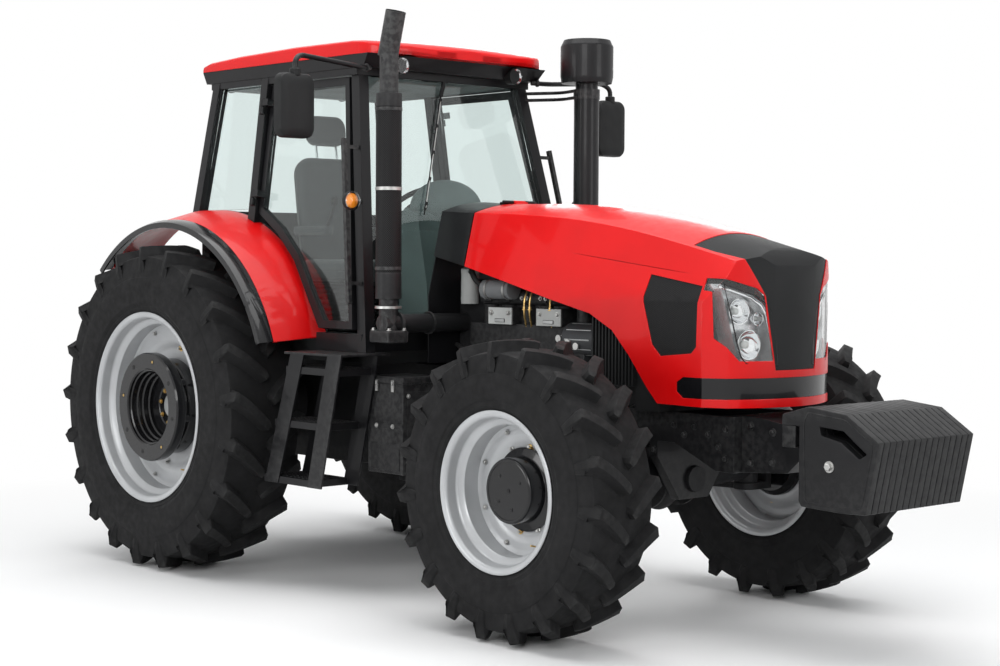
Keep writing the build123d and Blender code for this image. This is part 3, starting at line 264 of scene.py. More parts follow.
def woven(name, colour, thread=0.0022):
    """A woven seat fabric with its over and under threads, painted lighter where they lie over and darker, as painted
    shade, where they dip under.
    """
    made, tree, shader, place = new_material(name)
    x, y, z = coordinates(tree, place)
    wave = 2 * pi / thread
    across = calc(tree, "SINE", calc(tree, "MULTIPLY", y, wave))
    along = calc(tree, "SINE", calc(tree, "MULTIPLY", calc(tree, "ADD", x, z), wave))
    weave = calc(tree, "MULTIPLY", across, along)
    # Painted shade where the threads dip under and painted light where they lie over
    shade = blend(tree, remap(tree, weave, -1, 1, 0, 1), *shades(colour, 0.65, 1.3))
    tree.links.new(blend(tree, remap(tree, noise(tree, place, 12), 0.3, 0.7, 0, 0.4), shade, (0.02, 0.02, 0.02)),
                   shader.inputs["Base Color"])
    tree.links.new(remap(tree, weave, -1, 1, 0.8, 0.95), shader.inputs["Roughness"])
    shader.inputs["Sheen Weight"].default_value = 0.25
    add_bump(tree, shader, weave, 0.0005)
    return made


def creased_red():
    """The hood's red paint with the pressed step that runs along its side."""
    made = red_finish("hood_red")
    tree = made.node_tree
    place = tree.nodes["Texture Coordinate"].outputs["Object"]
    x, y, z = coordinates(tree, place)
    fall, (line_x, line_z) = 0.121, (2.520 + AXLE_SHIFT, 1.684)
    line = calc(tree, "ADD", calc(tree, "MULTIPLY", x, -fall), line_z + fall * line_x)
    under = calc(tree, "SUBTRACT", z, line)
    slope = remap(tree, under, -0.10, 0.0, 0, 1)
    step = remap(tree, under, 0.0, 0.004, 1, 0)
    ahead = remap(tree, x, 2.42 + AXLE_SHIFT, 2.60 + AXLE_SHIFT, 0, 1)
    behind = remap(tree, x, 3.05 + AXLE_SHIFT, 3.20 + AXLE_SHIFT, 1, 0)
    dip = calc(tree, "MULTIPLY", calc(tree, "MULTIPLY", slope, step), calc(tree, "MULTIPLY", ahead, behind))
    add_bump(tree, tree.nodes["Principled BSDF"], calc(tree, "MULTIPLY", dip, -1), 0.007, 1.0)
    return made


hood_red = creased_red()
seat_cloth = woven("seat_cloth", (0.045, 0.050, 0.052))
EXHAUST = (1520, -690)
INTAKE = (1500, 690)
sleeve_mesh = pierced("sleeve_mesh", (0.020, 0.020, 0.021), 0.45, 0.011,
                      (EXHAUST[0] / 1000 + AXLE_SHIFT, EXHAUST[1] / 1000, 0.064))
side_mesh = pierced("side_mesh", (0.018, 0.018, 0.019), 0.4, 0.009)
nose_mesh = pierced("nose_mesh", (0.024, 0.025, 0.026), 0.5, 0.008)


# Forms
def unit(vector):
    """The vector at length one."""
    return Vector(vector).normalized()


def across(axis):
    """Two directions square to an axis."""
    axis = unit(axis)
    guide = Vector(UP) if abs(axis.z) < 0.9 else Vector(AHEAD)
    first = axis.cross(guide).normalized()
    return first, axis.cross(first).normalized()


def rounded(points, radius):
    """A path with its corners rounded."""
    points = [Vector(p) for p in points]
    path = [points[0]]
    for before, corner, after in zip(points, points[1:], points[2:]):
        reach = min(radius, (before - corner).length / 2, (after - corner).length / 2)
        start = corner + unit(before - corner) * reach
        end = corner + unit(after - corner) * reach
        for step in range(7):
            t = step / 6
            path.append(start * (1 - t) ** 2 + corner * 2 * t * (1 - t) + end * t * t)
    path.append(points[-1])
    return path


def circle(sides):
    """The cosine and sine of each step round a circle."""
    return [(cos(2 * pi * i / sides), sin(2 * pi * i / sides)) for i in range(sides)]


def spoke(angle):
    """The direction at an angle round a wheel, from the top."""
    return Vector((sin(angle), 0, cos(angle)))


def rounded_block(half_width, half_height, corner):
    """Points round a rectangle with rounded corners."""
    return [(a * (half_width - corner) + cos(turn) * corner, b * (half_height - corner) + sin(turn) * corner)
            for a, b, start in ((1, 1, 0), (-1, 1, 90), (-1, -1, 180), (1, -1, 270))
            for turn in (radians(start + step * 15) for step in range(7))]


class Shape:
    """A piece gathered from simple forms, each with its own material, in millimetres."""

    def __init__(self):
        self.mesh = bmesh.new()
        self.materials = []

    def skin(self, rings, material, caps=True):
        """A skin over rings of points."""
        if material not in self.materials:
            self.materials.append(material)
        slot = self.materials.index(material)
        rows = [[self.mesh.verts.new(point) for point in ring] for ring in rings]
        count = len(rows[0])
        faces = []
        for low, high in zip(rows, rows[1:]):
            for i in range(count):
                j = (i + 1) % count
                faces.append(self.mesh.faces.new((low[i], low[j], high[j], high[i])))
        if caps:
            faces.append(self.mesh.faces.new(list(reversed(rows[0]))))
            faces.append(self.mesh.faces.new(rows[-1]))
        for face in faces:
            face.material_index = slot
        return faces

    def soften(self, faces, size):
        """Rounds the sharp edges of some faces, if a size is given."""
        if not size:
            return
        self.mesh.normal_update()
        edges = {edge for face in faces for edge in face.edges
                 if len(edge.link_faces) == 2 and edge.calc_face_angle(0) > radians(30)}
        bmesh.ops.recalc_face_normals(self.mesh, faces=faces)
        bmesh.ops.bevel(self.mesh, geom=list(edges), offset=size, segments=2, profile=0.5, affect="EDGES",
                        clamp_overlap=True)

    def turned(self, profile, centre, axis, material, sides=48, ring=False):
        """A form turned about an axis from offsets along it and radii; a ring's profile closes on itself."""
        centre, axis = Vector(centre), unit(axis)
        u, v = across(axis)
        rings = [[centre + axis * offset + (u * c + v * s) * max(radius, 0.01) for c, s in circle(sides)]
                 for offset, radius in profile]
        if ring:
            rings.append(rings[0])
        self.skin(rings, material, caps=not ring)

    def rod(self, low, high, radius, material, sides=16):
        """A straight round bar."""
        along = Vector(high) - Vector(low)
        self.turned(((0, radius), (along.length, radius)), low, along, material, sides)

    def tube(self, points, radius, material, sides=12, bend=0):
        """A round tube along a path."""
        path = rounded(points, bend) if bend else [Vector(p) for p in points]
        along = [unit(path[min(i + 1, len(path) - 1)] - path[max(i - 1, 0)]) for i in range(len(path))]
        u = across(along[0])[0]
        rings = []
        for point, direction in zip(path, along):
            u = (u - direction * u.dot(direction)).normalized()
            v = direction.cross(u)
            rings.append([point + (u * c + v * s) * radius for c, s in circle(sides)])
        self.skin(rings, material)

    def plate(self, outline, origin, u, v, thickness, material, soft=0):
        """A flat plate with an outline in two directions."""
        origin, u, v = Vector(origin), unit(u), unit(v)
        normal = u.cross(v).normalized() * thickness
        low = [origin + u * a + v * b for a, b in outline]
        self.soften(self.skin([low, [point + normal for point in low]], material), soft)

    def box(self, centre, size, material, soft=3, turn=None):
        """A block with softened edges; the turn is an angle in degrees and an axis."""
        half = Vector(size) / 2
        spin = Matrix.Rotation(radians(turn[0]), 3, turn[1]) if turn else Matrix.Identity(3)
        corners = [[Vector(centre) + spin @ Vector((a * half.x, b * half.y, z)) for a, b in SQUARE]
                   for z in (-half.z, half.z)]
        self.soften(self.skin(corners, material), min(soft, min(size) * 0.4))

    def bolt(self, centre, axis, radius, material, height=None):
        """A hexagon bolt head on its washer."""
        height = radius * 1.1 if height is None else height
        self.turned(((0, radius * 1.5), (height * 0.25, radius * 1.5)), centre, axis, material, 20)
        self.turned(((0, radius), (height, radius), (height * 1.15, radius * 0.8)), centre, axis, material, 6)

    def ball(self, centre, radii, material, sides=24, rows=12):
        """An ellipsoid."""
        rings = []
        for row in range(rows + 1):
            tilt = pi * row / rows - pi / 2
            ring = max(cos(tilt), 0.002)
            rings.append([Vector(centre) + Vector((radii[0] * ring * c, radii[1] * ring * s, radii[2] * sin(tilt)))
                          for c, s in circle(sides)])
        self.skin(rings, material)

    def piece(self, name, body="chassis", angle=35, replaces=()):
        """Finishes the shape as a piece that rides on a body, the chassis if none is named."""
        bmesh.ops.remove_doubles(self.mesh, verts=self.mesh.verts, dist=0.002)
        bmesh.ops.recalc_face_normals(self.mesh, faces=self.mesh.faces)
        self.mesh.transform(Matrix.Translation((AXLE_SHIFT, 0, 0)) @ Matrix.Scale(0.001, 4))
        data = bpy.data.meshes.new(name)
        self.mesh.to_mesh(data)
        self.mesh.free()
        return place_mesh(name, data, self.materials, body, angle, replaces)


def put_in_scene(name, data):
    """An object of some data, linked to the scene."""
    made = bpy.data.objects.new(name, data)
    scene.collection.objects.link(made)
    return made


def place_mesh(name, data, materials, body, angle, replaces):
    """Makes a smoothly shaded object of a mesh and hands it to its body."""
    for material in materials:
        data.materials.append(material)
    data.shade_smooth()
    data.set_sharp_from_angle(angle=radians(angle))
    made = put_in_scene(name, data)
    made.modifiers.new("even_faces", "WEIGHTED_NORMAL").keep_sharp = True
    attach(made, body)
    if replaces:
        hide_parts(*replaces)
    return made


BODY_OF = {node: body for body, nodes in frame["record"]["behaviour"]["bodies"].items() for node in nodes}


def dress(node, material, soft):
    """A CAD node's own form as a piece with softened edges and a finish."""
    form = bmesh.new()
    form.from_mesh(frame["nodes"][node].data)
    bmesh.ops.remove_doubles(form, verts=form.verts, dist=2e-5)
    bmesh.ops.dissolve_limit(form, angle_limit=radians(0.4), verts=form.verts, edges=form.edges)
    form.normal_update()
    if soft:
        edges = [edge for edge in form.edges if len(edge.link_faces) == 2 and edge.calc_face_angle(0) > radians(28)]
        bmesh.ops.bevel(form, geom=edges, offset=soft / 1000, segments=2, profile=0.5, affect="EDGES",
                        clamp_overlap=False)
    data = bpy.data.meshes.new(node + "_dressed")
    form.to_mesh(data)
    form.free()
    if "custom_normal" in data.attributes:
        data.attributes.remove(data.attributes["custom_normal"])
    data.materials.clear()
    place_mesh(data.name, data, [material], BODY_OF[node], 35, (node,))


# Wheels
def tyre_piece(wheel, side, node):
    """A carcass with rounded walls, and curved lugs that run down the shoulders."""
    tip, bead, section, tread = wheel["tip"], wheel["bead"], wheel["section"], wheel["tread"]
    band = tip - wheel["lug"]
    seat = wheel["rim"] - 9.5
    bulge = bead + 0.5 * (band - bead)
    half = [(seat, bead + 2), (seat, bead + 28), (seat + 6, bead + 36), (seat + 11, bead + 47), (seat + 10, bead + 54),
            (section - 9, bead + 66), (section - 7, bead + 68), (section - 6, bead + 72), (section - 4, bead + 76),
            (section - 1, bulge - 12), (section, bulge), (section - 1, bulge + 18), (section - 4, bulge + 38),
            (section - 5, bulge + 41), (section - 7, bulge + 43), (section - 10, bulge + 60), (tread + 6, band - 46),
            (tread + 3, band - 30), (tread, band - 20), (tread - 4, band - 17), (tread * 0.75, band - 8),
            (tread * 0.5, band - 3), (tread * 0.25, band - 0.5), (0, band)]
    centre = Vector((wheel["x"], side * wheel["track"], tip))
    made = Shape()
    made.turned(half + [(-y, r) for y, r in half[-2::-1]], centre, LEFT, rubber, 168, ring=True)

    turn = 2 * pi / wheel["count"]
    spread = (tread - 8) * tan(radians(40))
    stations = 11
    for row, phase in ((1, 0), (-1, 0.5)):
        for n in range(wheel["count"]):
            start = (n + phase) * turn
            rings = []
            for i in range(stations + 4):
                t = min(i / (stations - 1), 1.0)
                y = 8 + (tread - 8) * t
                arc = spread * (t + 0.28 * t * (1 - t))
                slope = spread * (1 + 0.28 * (1 - 2 * t)) / (tread - 8)
                run = hypot(1, slope)
                base, top = band - 20 * (y / tread) ** 2.4, tip - 9 * t * t
                top_y, base_y = y, y
                width = wheel["width"] * (0.44 + 0.14 * t)
                foot = width + (top - base) * 0.42
                if i == 0:
                    width, foot, top = width * 0.72, foot * 0.8, top - 5
                if i >= stations:
                    step = i - stations
                    base, top = ((band - 30, tip - 13), (band - 58, band - 22), (band - 82, band - 66),
                                 (band - 100, band - 97))[step]
                    base_y = tread + (1, 4, 8, 10)[step]
                    top_y = tread + (7, 14, 17, 14)[step]
                    shrink = (0.97, 0.8, 0.62, 0.42)[step]
                    width, foot = width * shrink, foot * (1 - 0.12 * step)
                    slope *= 0.6 - 0.15 * step
                    run = hypot(1, slope)
                ring = []
                flank = [(foot + 4, -0.3), (foot, 0.0), (foot - 6, 0.16), (width + 2.5, 0.86), (width + 0.8, 0.965),
                         (width - 1.5, 1.0)]
                for offset, share in [(-a, b) for a, b in flank] + flank[::-1]:
                    radius = base + (top - base) * share
                    side_y = base_y + (top_y - base_y) * share + offset * slope / run
                    around = start - (arc - offset / run) / tip
                    ring.append((centre.x + radius * sin(around), centre.y + row * max(side_y, 2),
                                 centre.z + radius * cos(around)))
                rings.append(ring)
            made.skin(rings, rubber)
    made.piece(node + "_lugged", BODY_OF[node], angle=32, replaces=(node,))


def rim_piece(wheel, side, node, disc, bore, edge, nuts):
    """A rolled rim with its pressed disc, tabs, bolts and valve."""
    bead, rim = wheel["bead"], wheel["rim"]
    well = bead - 34
    half, outer = [[(rim - a, bead + b) for a, b in line] for line in (
        ((9, 20), (7, 24), (3, 25), (0.5, 22), (0, 16), (1, 8), (5, 0), (12, -6), (22, -9), (58, -9), (66, -12),
         (72, -20), (80, -36), (88, -42)),
        ((92, -33), (84, -22), (74, -4), (68, -0.5), (12, -0.5), (9, 3)))]
    centre = Vector((wheel["x"], side * wheel["track"], wheel["tip"]))
    axis = Vector((0, side, 0))
    made = Shape()
    made.turned(half + [(-y, r) for y, r in half[::-1] + outer[::-1]] + outer, centre, axis, rim_paint, 128, ring=True)
    dish = [(disc - 5, bore), (disc + 5, bore), (disc + 5, edge - 30), (disc + 9, edge - 14), (disc + 18, edge),
            (disc + 26, edge + 18), (disc + 28, edge + 36), (disc + 26, well - 34), (disc + 30, well - 18),
            (disc + 36, well - 6), (disc + 30, well - 5), (disc + 20, well - 20), (disc + 16, well - 34),
            (disc + 18, edge + 36), (disc + 14, edge + 20), (disc + 6, edge + 4), (disc - 2, edge - 12),
            (disc - 5, edge - 28)]
    made.turned(dish, centre, axis, rim_paint, 128, ring=True)
    for n in range(8):
        out = spoke((n + 0.5) * pi / 4)
        along = axis.cross(out)
        spot = centre + out * (well - 34) + axis * (disc + 26)
        made.plate([(-34, -16), (34, -16), (24, 28), (-24, 28)], spot, along, out, 7, rim_paint, soft=2)
        made.bolt(spot + axis * 7, axis, 8, zinc)
    for n in range(nuts[0]):
        out = spoke((n + 0.25) * 2 * pi / nuts[0])
        spot = centre + out * nuts[1] + axis * (disc + 5)
        made.bolt(spot, axis, 12, brass if n % 5 == 0 else zinc)
        made.rod(spot, spot + axis * 24, 6.5, zinc, 12)
    valve = centre + spoke(2.3) * (bead - 14) + axis * (rim - 40)
    made.rod(valve, valve + axis * 34 - spoke(2.3) * 12, 4, brass, 10)
    made.piece(node + "_pressed", BODY_OF[node], replaces=(node,))


for side, word in SIDES:
    tyre_piece(REAR, side, f"rear_tyre_{word}")
    tyre_piece(FRONT, side, f"front_tyre_{word}")
    rim_piece(REAR, side, f"rear_rim_{word}", 20, 150, 330, (8, 318))
    rim_piece(FRONT, side, f"front_rim_{word}", -25, 120, 205, (10, 192))

# Hubs: an open stepped drum behind, a closed one in front
for side, word in SIDES:
    axis = Vector((0, side, 0))
    centre = Vector((0, side * REAR["track"], REAR["tip"]))
    made = Shape()
    made.turned([(26, 30), (26, 250), (34, 256), (98, 256), (104, 250), (104, 236), (110, 232), (132, 232), (138, 238),
                 (138, 280), (144, 288), (150, 290), (192, 290), (200, 283), (200, 206), (194, 200), (182, 200),
                 (178, 192), (150, 190), (144, 184), (120, 184), (114, 176), (86, 176), (80, 168), (60, 168),
                 (56, 120), (50, 112), (50, 30)], centre, axis, gloss_black, 96, ring=True)
    made.turned([(20, 0), (56, 0), (56, 62), (50, 66), (20, 66)], centre, axis, aluminium, 32)
    for n in range(8):
        out = spoke(n * pi / 4 + 0.2)
        made.turned([(0, 13), (1, 13), (1, 9), (-8, 9)], centre + out * 246 + axis * 199.6, axis, cast_black, 20)
        made.bolt(centre + out * 246 + axis * 196, axis, 8, brass if n % 3 == 0 else cast_black, 5)
        made.bolt(centre + out * 92 + axis * 56, axis, 9, brass)
        made.turned([(0, 22), (30, 22), (34, 18)], centre + out * 244 + axis * 104, axis, gloss_black, 20)
    made.rod(centre + axis * -190, centre + axis * -14, 60, cast_black, 32)
    made.turned([(-20, 60), (-20, 185), (14, 185), (14, 60)], centre, axis, cast_black, 48, ring=True)
    made.piece(f"rear_drum_{word}", f"rear_wheel_{word}", replaces=(f"rear_hub_{word}",))

    centre = Vector((WHEELBASE, side * FRONT["track"], FRONT["tip"]))
    made = Shape()
    made.turned([(-85, 50), (-85, 138), (-55, 163), (-31, 165), (-31, 120), (-20, 120), (-20, 184), (-6, 184),
                 (-3, 178), (4, 150), (8, 145), (84, 145), (92, 141), (96, 134), (96, 128), (92.5, 126), (92.5, 4),
                 (25, 4), (25, 50)], centre, axis, gloss_black, 96, ring=True)
    for spot in ((0, 0, 10), (70, 40, 7), (-55, 62, 7), (20, -80, 9), (-62, -50, 7)):
        made.turned([(90, spot[2]), (95, spot[2]), (95.5, spot[2] - 2)],
                    centre + Vector((spot[0], 0, spot[1])), axis, black_paint, 20)
    made.piece(f"front_drum_{word}", f"front_wheel_{word}", replaces=(f"front_hub_{word}",))

# CAD forms with softened edges and their finishes; the engine's side drums are grey
for node, material, soft in (
        ("hood_shell", hood_red, 2.5), ("cowl", satin_black, 2), ("cab_frame", satin_black, 2),
        ("cab_body", black_plastic, 1.5), ("fenders", red_paint, 2.5), ("fender_edges", gloss_black, 2),
        ("frame", black_paint, 3), ("weight_carrier", black_paint, 3), ("front_weights", cast_black, 5),
        ("front_axle", cast_black, 4), ("knuckle_left", cast_black, 4), ("knuckle_right", cast_black, 4),
        ("transmission", cast_black, 4), ("drive_shaft", black_paint, 1), ("engine", cast_black, 3),
        ("radiator", black_plastic, 1), ("steps", black_paint, 1.5), ("battery_box", black_paint, 4),
        ("fuel_tank", black_plastic, 3), ("hitch", black_paint, 3), ("lower_links", black_paint, 3),
        ("door_frame_left", satin_black, 2), ("door_frame_right", satin_black, 2), ("grab_rails", black_paint, 0),
        ("dashboard", dash_plastic, 5), ("steering_wheel", black_plastic, 0), ("bumper_insert", gloss_black, 1),
        ("nose_panel", nose_mesh, 1), ("side_grilles", side_mesh, 1), ("headlamps", lens_clear, 0),
        ("intake_stack", black_paint, 1)):
    dress(node, material, soft)
data = bpy.data.meshes["engine_dressed"]
data.materials.append(engine_grey)
for face in data.polygons:
    x, y, z = face.center
    if 2.335 < x - AXLE_SHIFT < 2.545 and 0.15 < abs(y) < 0.33 and 1.2 < z < 1.38:
        face.material_index = 1
for node in frame["nodes"]:
    if "glass" in node:
        slots = frame["nodes"][node].data.materials
        slots.clear()
        slots.append(cab_glazing)

# Engine fittings: manifolds, cylinder walls, side drums, boxed plates, pipes, bolts, filters and hoses
made = Shape()
for side in (1, -1):
    made.rod((1690, side * 208, 1475), (2590, side * 208, 1475), 34, cast_black, 24)
    made.rod((2340, side * 235, 1290), (2540, side * 235, 1290), 78, engine_grey, 40)
    for x in range(1730, 2500, 130):
        made.rod((x, side * 190, 1345), (x, side * 190, 1440), 42, cast_black, 24)
made.box((1870, -222, 1500), (80, 92, 70), cast_black, soft=6)
for x in (1896, 2235):
    made.box((x, -239, 1387), (170, 102, 84), cast_black, soft=4)
    made.box((x, -292, 1388), (172, 8, 86), filter_grey)
    for dx in (-61, 61):
        made.bolt((x + dx, -296, 1402), RIGHT, 9, zinc)
    made.box((x, -298, 1366), (70, 5, 18), aluminium, soft=2)
for x in (2062, 2100, 2240):
    made.tube([(x, -205, 1560), (x, -262, 1530), (x, -290, 1470), (x, -290, 1395), (x - 12, -262, 1330),
               (x - 12, -240, 1300)], 5, brass, 10, bend=25)
    made.bolt((x, -290, 1420), UP, 8, brass, 14)
for x, z in ((2325, 1293), (2385, 1276), (2440, 1260)):
    made.turned([(0, 16), (14, 16), (16, 12), (30, 12), (32, 17), (40, 17)], (x, -280, z), RIGHT, zinc, 18)
made.turned([(0, 44.6), (22, 46), (30, 46), (34, 44.8), (150, 44.8), (156, 46), (172, 46), (176, 43), (187, 20)],
            (1600, -228, 1440), UP, filter_grey, 40)
made.turned([(-2, 40), (2, 47), (16, 47.5), (20, 46.4), (186, 46.4), (190, 48), (203, 48), (207, 38)],
            (1765, -272, 1515), AHEAD, label_grey, 40)
for x in (1800, 1930):
    made.turned([(0, 46), (0, 50), (12, 50), (12, 46)], (x, -272, 1515), AHEAD, zinc, 40, ring=True)
for path, radius, sides, bend in (
        ([(1630, -250, 1600), (1690, -300, 1605), (1740, -320, 1560), (1768, -285, 1520)], 14, 14, 50),
        ([(1540, -262, 1235), (1660, -300, 1200), (1900, -296, 1190), (2330, -290, 1190), (2420, -262, 1205)],
         11, 12, 60),
        ([(1520, -200, 1120), (1700, -290, 1140), (2050, -286, 1150), (2440, -280, 1140), (2560, -190, 1120)],
         8, 10, 60)):
    made.tube(path, radius, soft_rubber, sides, bend)
for side in (1, -1):
    made.tube([(2450, side * 235, 1540), (2600, side * 280, 1520), (2690, side * 300, 1480),
               (2830, side * 300, 1440)], 24, soft_rubber, 18, bend=80)
    for n in range(6):
        made.box((1755 + n * 130, side * 232, 1475), (46, 30, 40), cast_black, soft=4)
        for x in (1737, 1773):
            made.bolt((x + n * 130, side * 246, 1475), (0, side, 0), 7, zinc)
    for x in range(1660, 2260, 75):
        made.bolt((x, side * 189, 712), (0, side, 0), 6, zinc)
    made.turned([(0, 60), (4, 76), (12, 76), (16, 60)], (2542, side * 235, 1290), AHEAD, bright_steel, 32)
    for c, s in circle(10):
        y, z = side * 235 + c * 74, 1290 + s * 74
        made.rod((2360, y, z), (2520, y, z), 5, aluminium, 8)
made.piece("engine_fittings")

# Slatted screens at the sides of the radiator, and the fan before it
made = Shape()
for side in (1, -1):
    made.box((2700, side * 310, 1247), (280, 20, 305), black_plastic, soft=2)
    for x in range(2568, 2825, 21):
        made.box((x, side * 324, 1247), (9, 24, 305), black_plastic, soft=1)
for n in range(7):
    turn = n * 2 * pi / 7
    made.box((2784, cos(turn) * 130, 1290 + sin(turn) * 130), (14, 190, 70), black_plastic,
             turn=(degrees(turn), "X"))
made.rod((2758, 0, 1290), (2795, 0, 1290), 70, cast_black, 32)
made.piece("radiator_screens")

# Rear lamps on the fenders' rear ends
made = Shape()
for side in (1, -1):
    made.box((-595, side * 850, 1640), (50, 160, 100), black_plastic, soft=8)
    made.box((-622, side * 850, 1640), (18, 148, 88), lens_red, soft=6)
made.piece("rear_lamp_pair")

# Roof: a crowned shell with a visor that arches over the front lamps
ROOF_BASE, ROOF_HALF = 2690, 620
made = Shape()
rings = []
for x, top, half in ((-215, 2718, 604), (-205, 2730, 616), (-144, 2743, 620), (142, 2758, 620), (640, 2768, 620),
                     (1120, 2764, 620), (1188, 2760, 614), (1190, 2760, 612), (1240, 2755, 590), (1280, 2749, 545),
                     (1305, 2742, 480), (1322, 2734, 380), (1331, 2728, 220), (1334, 2722, 90)):
    rise = 1 if x > 1189 else 0
    under = [(0, 0), (299, 0), (355, 30 * rise), (567, 18 * rise), (ROOF_HALF, 0)]
    over = [(1.0, -26), (0.992, -12), (0.97, -4), (0.9, -1), (0.6, 5), (0.3, 9), (0, 10)]
    right = [(min(y, half), ROOF_BASE + lift) for y, lift in under] + [(half * y, top + lift) for y, lift in over]
    rings.append([(x, y, z) for y, z in right + [(-y, z) for y, z in right[-2:0:-1]]])
made.skin(rings, red_paint)
made.piece("roof_shell", replaces=("cab_roof",))

# Headlamps: a bright housing with round bowls and a light strip behind the clear lens
LAMP_EDGE = ((119, 1211, 3479), (130, 1331, 3474), (156, 1441, 3468), (185, 1479, 3461), (230, 1512, 3446),
             (354, 1561, 3372))
LAMP_LOOP = LAMP_EDGE + ((333, 1441, 3391), (307, 1311, 3407), (292, 1256, 3415), (274, 1223, 3429))
for side, word in SIDES:
    made = Shape()
    front, deep, base = [[(x - back, side * y, z) for y, z, x in LAMP_LOOP] for back in (22, 100, 96)]
    made.skin([deep, base], reflector)
    made.skin([front, deep], reflector, caps=False)
    for y, z, x, radius in ((212, 1300, 3420, 58), (258, 1444, 3402, 50), (176, 1412, 3440, 24)):
        aim = unit((1, side * 0.2, 0))
        spot = Vector((x - 62, side * y, z))
        made.turned([(0, radius * 0.3), (6, radius * 0.62), (20, radius * 0.88), (38, radius), (42, radius + 3),
                     (42, radius + 6), (34, radius + 6), (-4, radius * 0.5)], spot, aim, chrome, 40)
        made.turned([(4, radius * 0.3), (18, radius * 0.29), (24, radius * 0.2), (27, radius * 0.05)], spot, aim,
                    filter_grey, 24)
    made.tube([(x - 20, side * (y + 14), z - 9) for y, z, x in LAMP_EDGE[1:]], 6, chrome, 10)
    made.piece(f"headlamp_bowls_{word}", "hood")
    made = Shape()
    made.tube([(x - 2, side * y, z) for y, z, x in LAMP_LOOP + LAMP_LOOP[:1]], 3.2, gloss_black, 8)
    made.piece(f"headlamp_trim_{word}", "hood")

# Roof lamps: bowl, housing and lens, in front and behind
made = Shape()
for side in (1, -1):
    for x, ahead in ((1262, 1), (-257, -1)):
        centre = Vector((x, side * 393, LAMP_Z))
        aim = Vector((ahead, 0, 0))
        made.turned([(-60, 36), (-8, 44), (0, 45), (2, 43), (-2, 40), (-22, 26), (-30, 8), (-30, 0.1), (-36, 0.1),
                     (-60, 0.1)], centre, aim, chrome, 40, ring=True)
        made.turned([(-61, 38), (-8, 45.6), (2, 46), (2, 42), (-1, 42), (-10, 42)], centre, aim, black_plastic, 40)
        made.turned([(-1, 0.1), (1.5, 0.1), (0.5, 42), (-2, 42)], centre, aim, lens_clear, 40, ring=True)
made.piece("roof_lamps", replaces=("work_lamps",))

# Turn lamps: a clear lens over an amber bulb on a rubber arm
made = Shape()
for side in (1, -1):
    centre = Vector((1330, side * 787, 1946))
    aim = Vector(AHEAD)
    made.turned([(0, 20), (2, 44), (14, 48), (30, 48), (32, 45), (16, 43), (6, 20)], centre, aim, black_plastic, 40)
    made.turned([(32, 45), (40, 43), (47, 30), (50, 0.1), (46, 0.1), (43, 28), (36, 40), (31, 41)], centre, aim,
                lens_clear, 40, ring=True)
    made.turned([(10, 0.1), (10, 36), (26, 36), (36, 22), (38, 0.1)], centre, aim, lens_amber, 32)
    made.tube([(1240, side * 630, 1946), (1300, side * 704, 1946), (1340, side * 750, 1946)], 11, soft_rubber, 14)
    made.turned([(0, 22), (6, 22), (14, 14)], (1238, side * 628, 1946), unit((105, side * 130, 0)), soft_rubber, 20)
made.piece("turn_lamp_pair", replaces=("turn_lamps",))

# Mirrors: a rounded shell with its glass facing back, on a bent arm
made = Shape()
for side in (1, -1):
    middle = side * MIRROR_Y
    rings = [[(x, middle + a, MIRROR_Z + b) for a, b in rounded_block(105 + grow, 155 + grow, 45 + grow * 0.3)]
             for x, grow in ((1263, -6), (1265, 0), (1300, 0), (1312, -6), (1320, -22), (1324, -50))]
    made.skin(rings, black_plastic)
    made.skin([[(at, middle + (y - middle) * 0.9, MIRROR_Z + (z - MIRROR_Z) * 0.93) for x, y, z in rings[1]]
               for at in (1262.4, 1263.5)], chrome)
    made.tube([(1205, side * 560, 2620), (1240, side * 650, 2617), (1272, side * 1040, 2643),
               (1292, middle, 2615), (1292, middle, 2500)], 13, black_paint, 16, bend=60)
    made.turned([(0, 24), (4, 27), (34, 27), (38, 24)], (1292, middle, 2536), UP, black_plastic, 28)
    made.turned([(0, 20), (10, 20), (12, 16)], (1216, side * 588, 2620), unit((35, side * 90, 0)), black_paint, 24)
made.piece("mirror_pair", replaces=("mirrors",))

# Exhaust: a pierced sleeve between smooth collars, its pipe, elbow and strap
made = Shape()
x, y = EXHAUST
made.turned([(0, 47), (0, 63), (6, 64), (120, 64), (128, 62)], (x, y, 1468), UP, pipe_paint, 64)
made.turned([(0, 62), (3, 63.2), (800, 63.2), (803, 62)], (x, y, 1595), UP, sleeve_mesh, 64)
made.turned([(0, 62), (2, 64), (60, 64), (66, 62), (70, 46)], (x, y, 2398), UP, pipe_paint, 64)
for z in (1608, 1995, 2380):
    made.turned([(0, 63), (0, 65.5), (16, 65.5), (16, 63)], (x, y, z), UP, zinc if z == 1995 else pipe_paint,
                64, ring=True)
made.rod((x, y, 1300), (x, y, 2690), 46, pipe_paint, 48)
made.turned([(-40, 46), (-38, 50), (185, 50), (185, 46.5), (60, 46), (60, 0.1)], (x, y, 2680),
            spoke(radians(16)), pipe_paint, 48)
made.turned([(0, 46), (46, 46), (50, 58), (64, 58), (68, 46), (250, 46), (250, 56), (262, 56), (262, 46), (500, 46)],
            (x, y, 1346), LEFT, pipe_paint, 40)
made.turned([(0, 30), (4, 44), (40, 46.5)], (x, y - 44, 1346), LEFT, pipe_paint, 40)
made.box((x + 5, y, 1284), (150, 130, 60), cast_black, soft=10)
for dx in (-55, 65):
    for dy in (-48, 48):
        made.bolt((x + dx, y + dy, 1314), UP, 9, zinc)
made.turned([(0, 48), (0, 66), (12, 66), (12, 48)], (x, y, 1420), UP, zinc, 48, ring=True)
made.piece("exhaust_pipe", replaces=("exhaust_stack",))

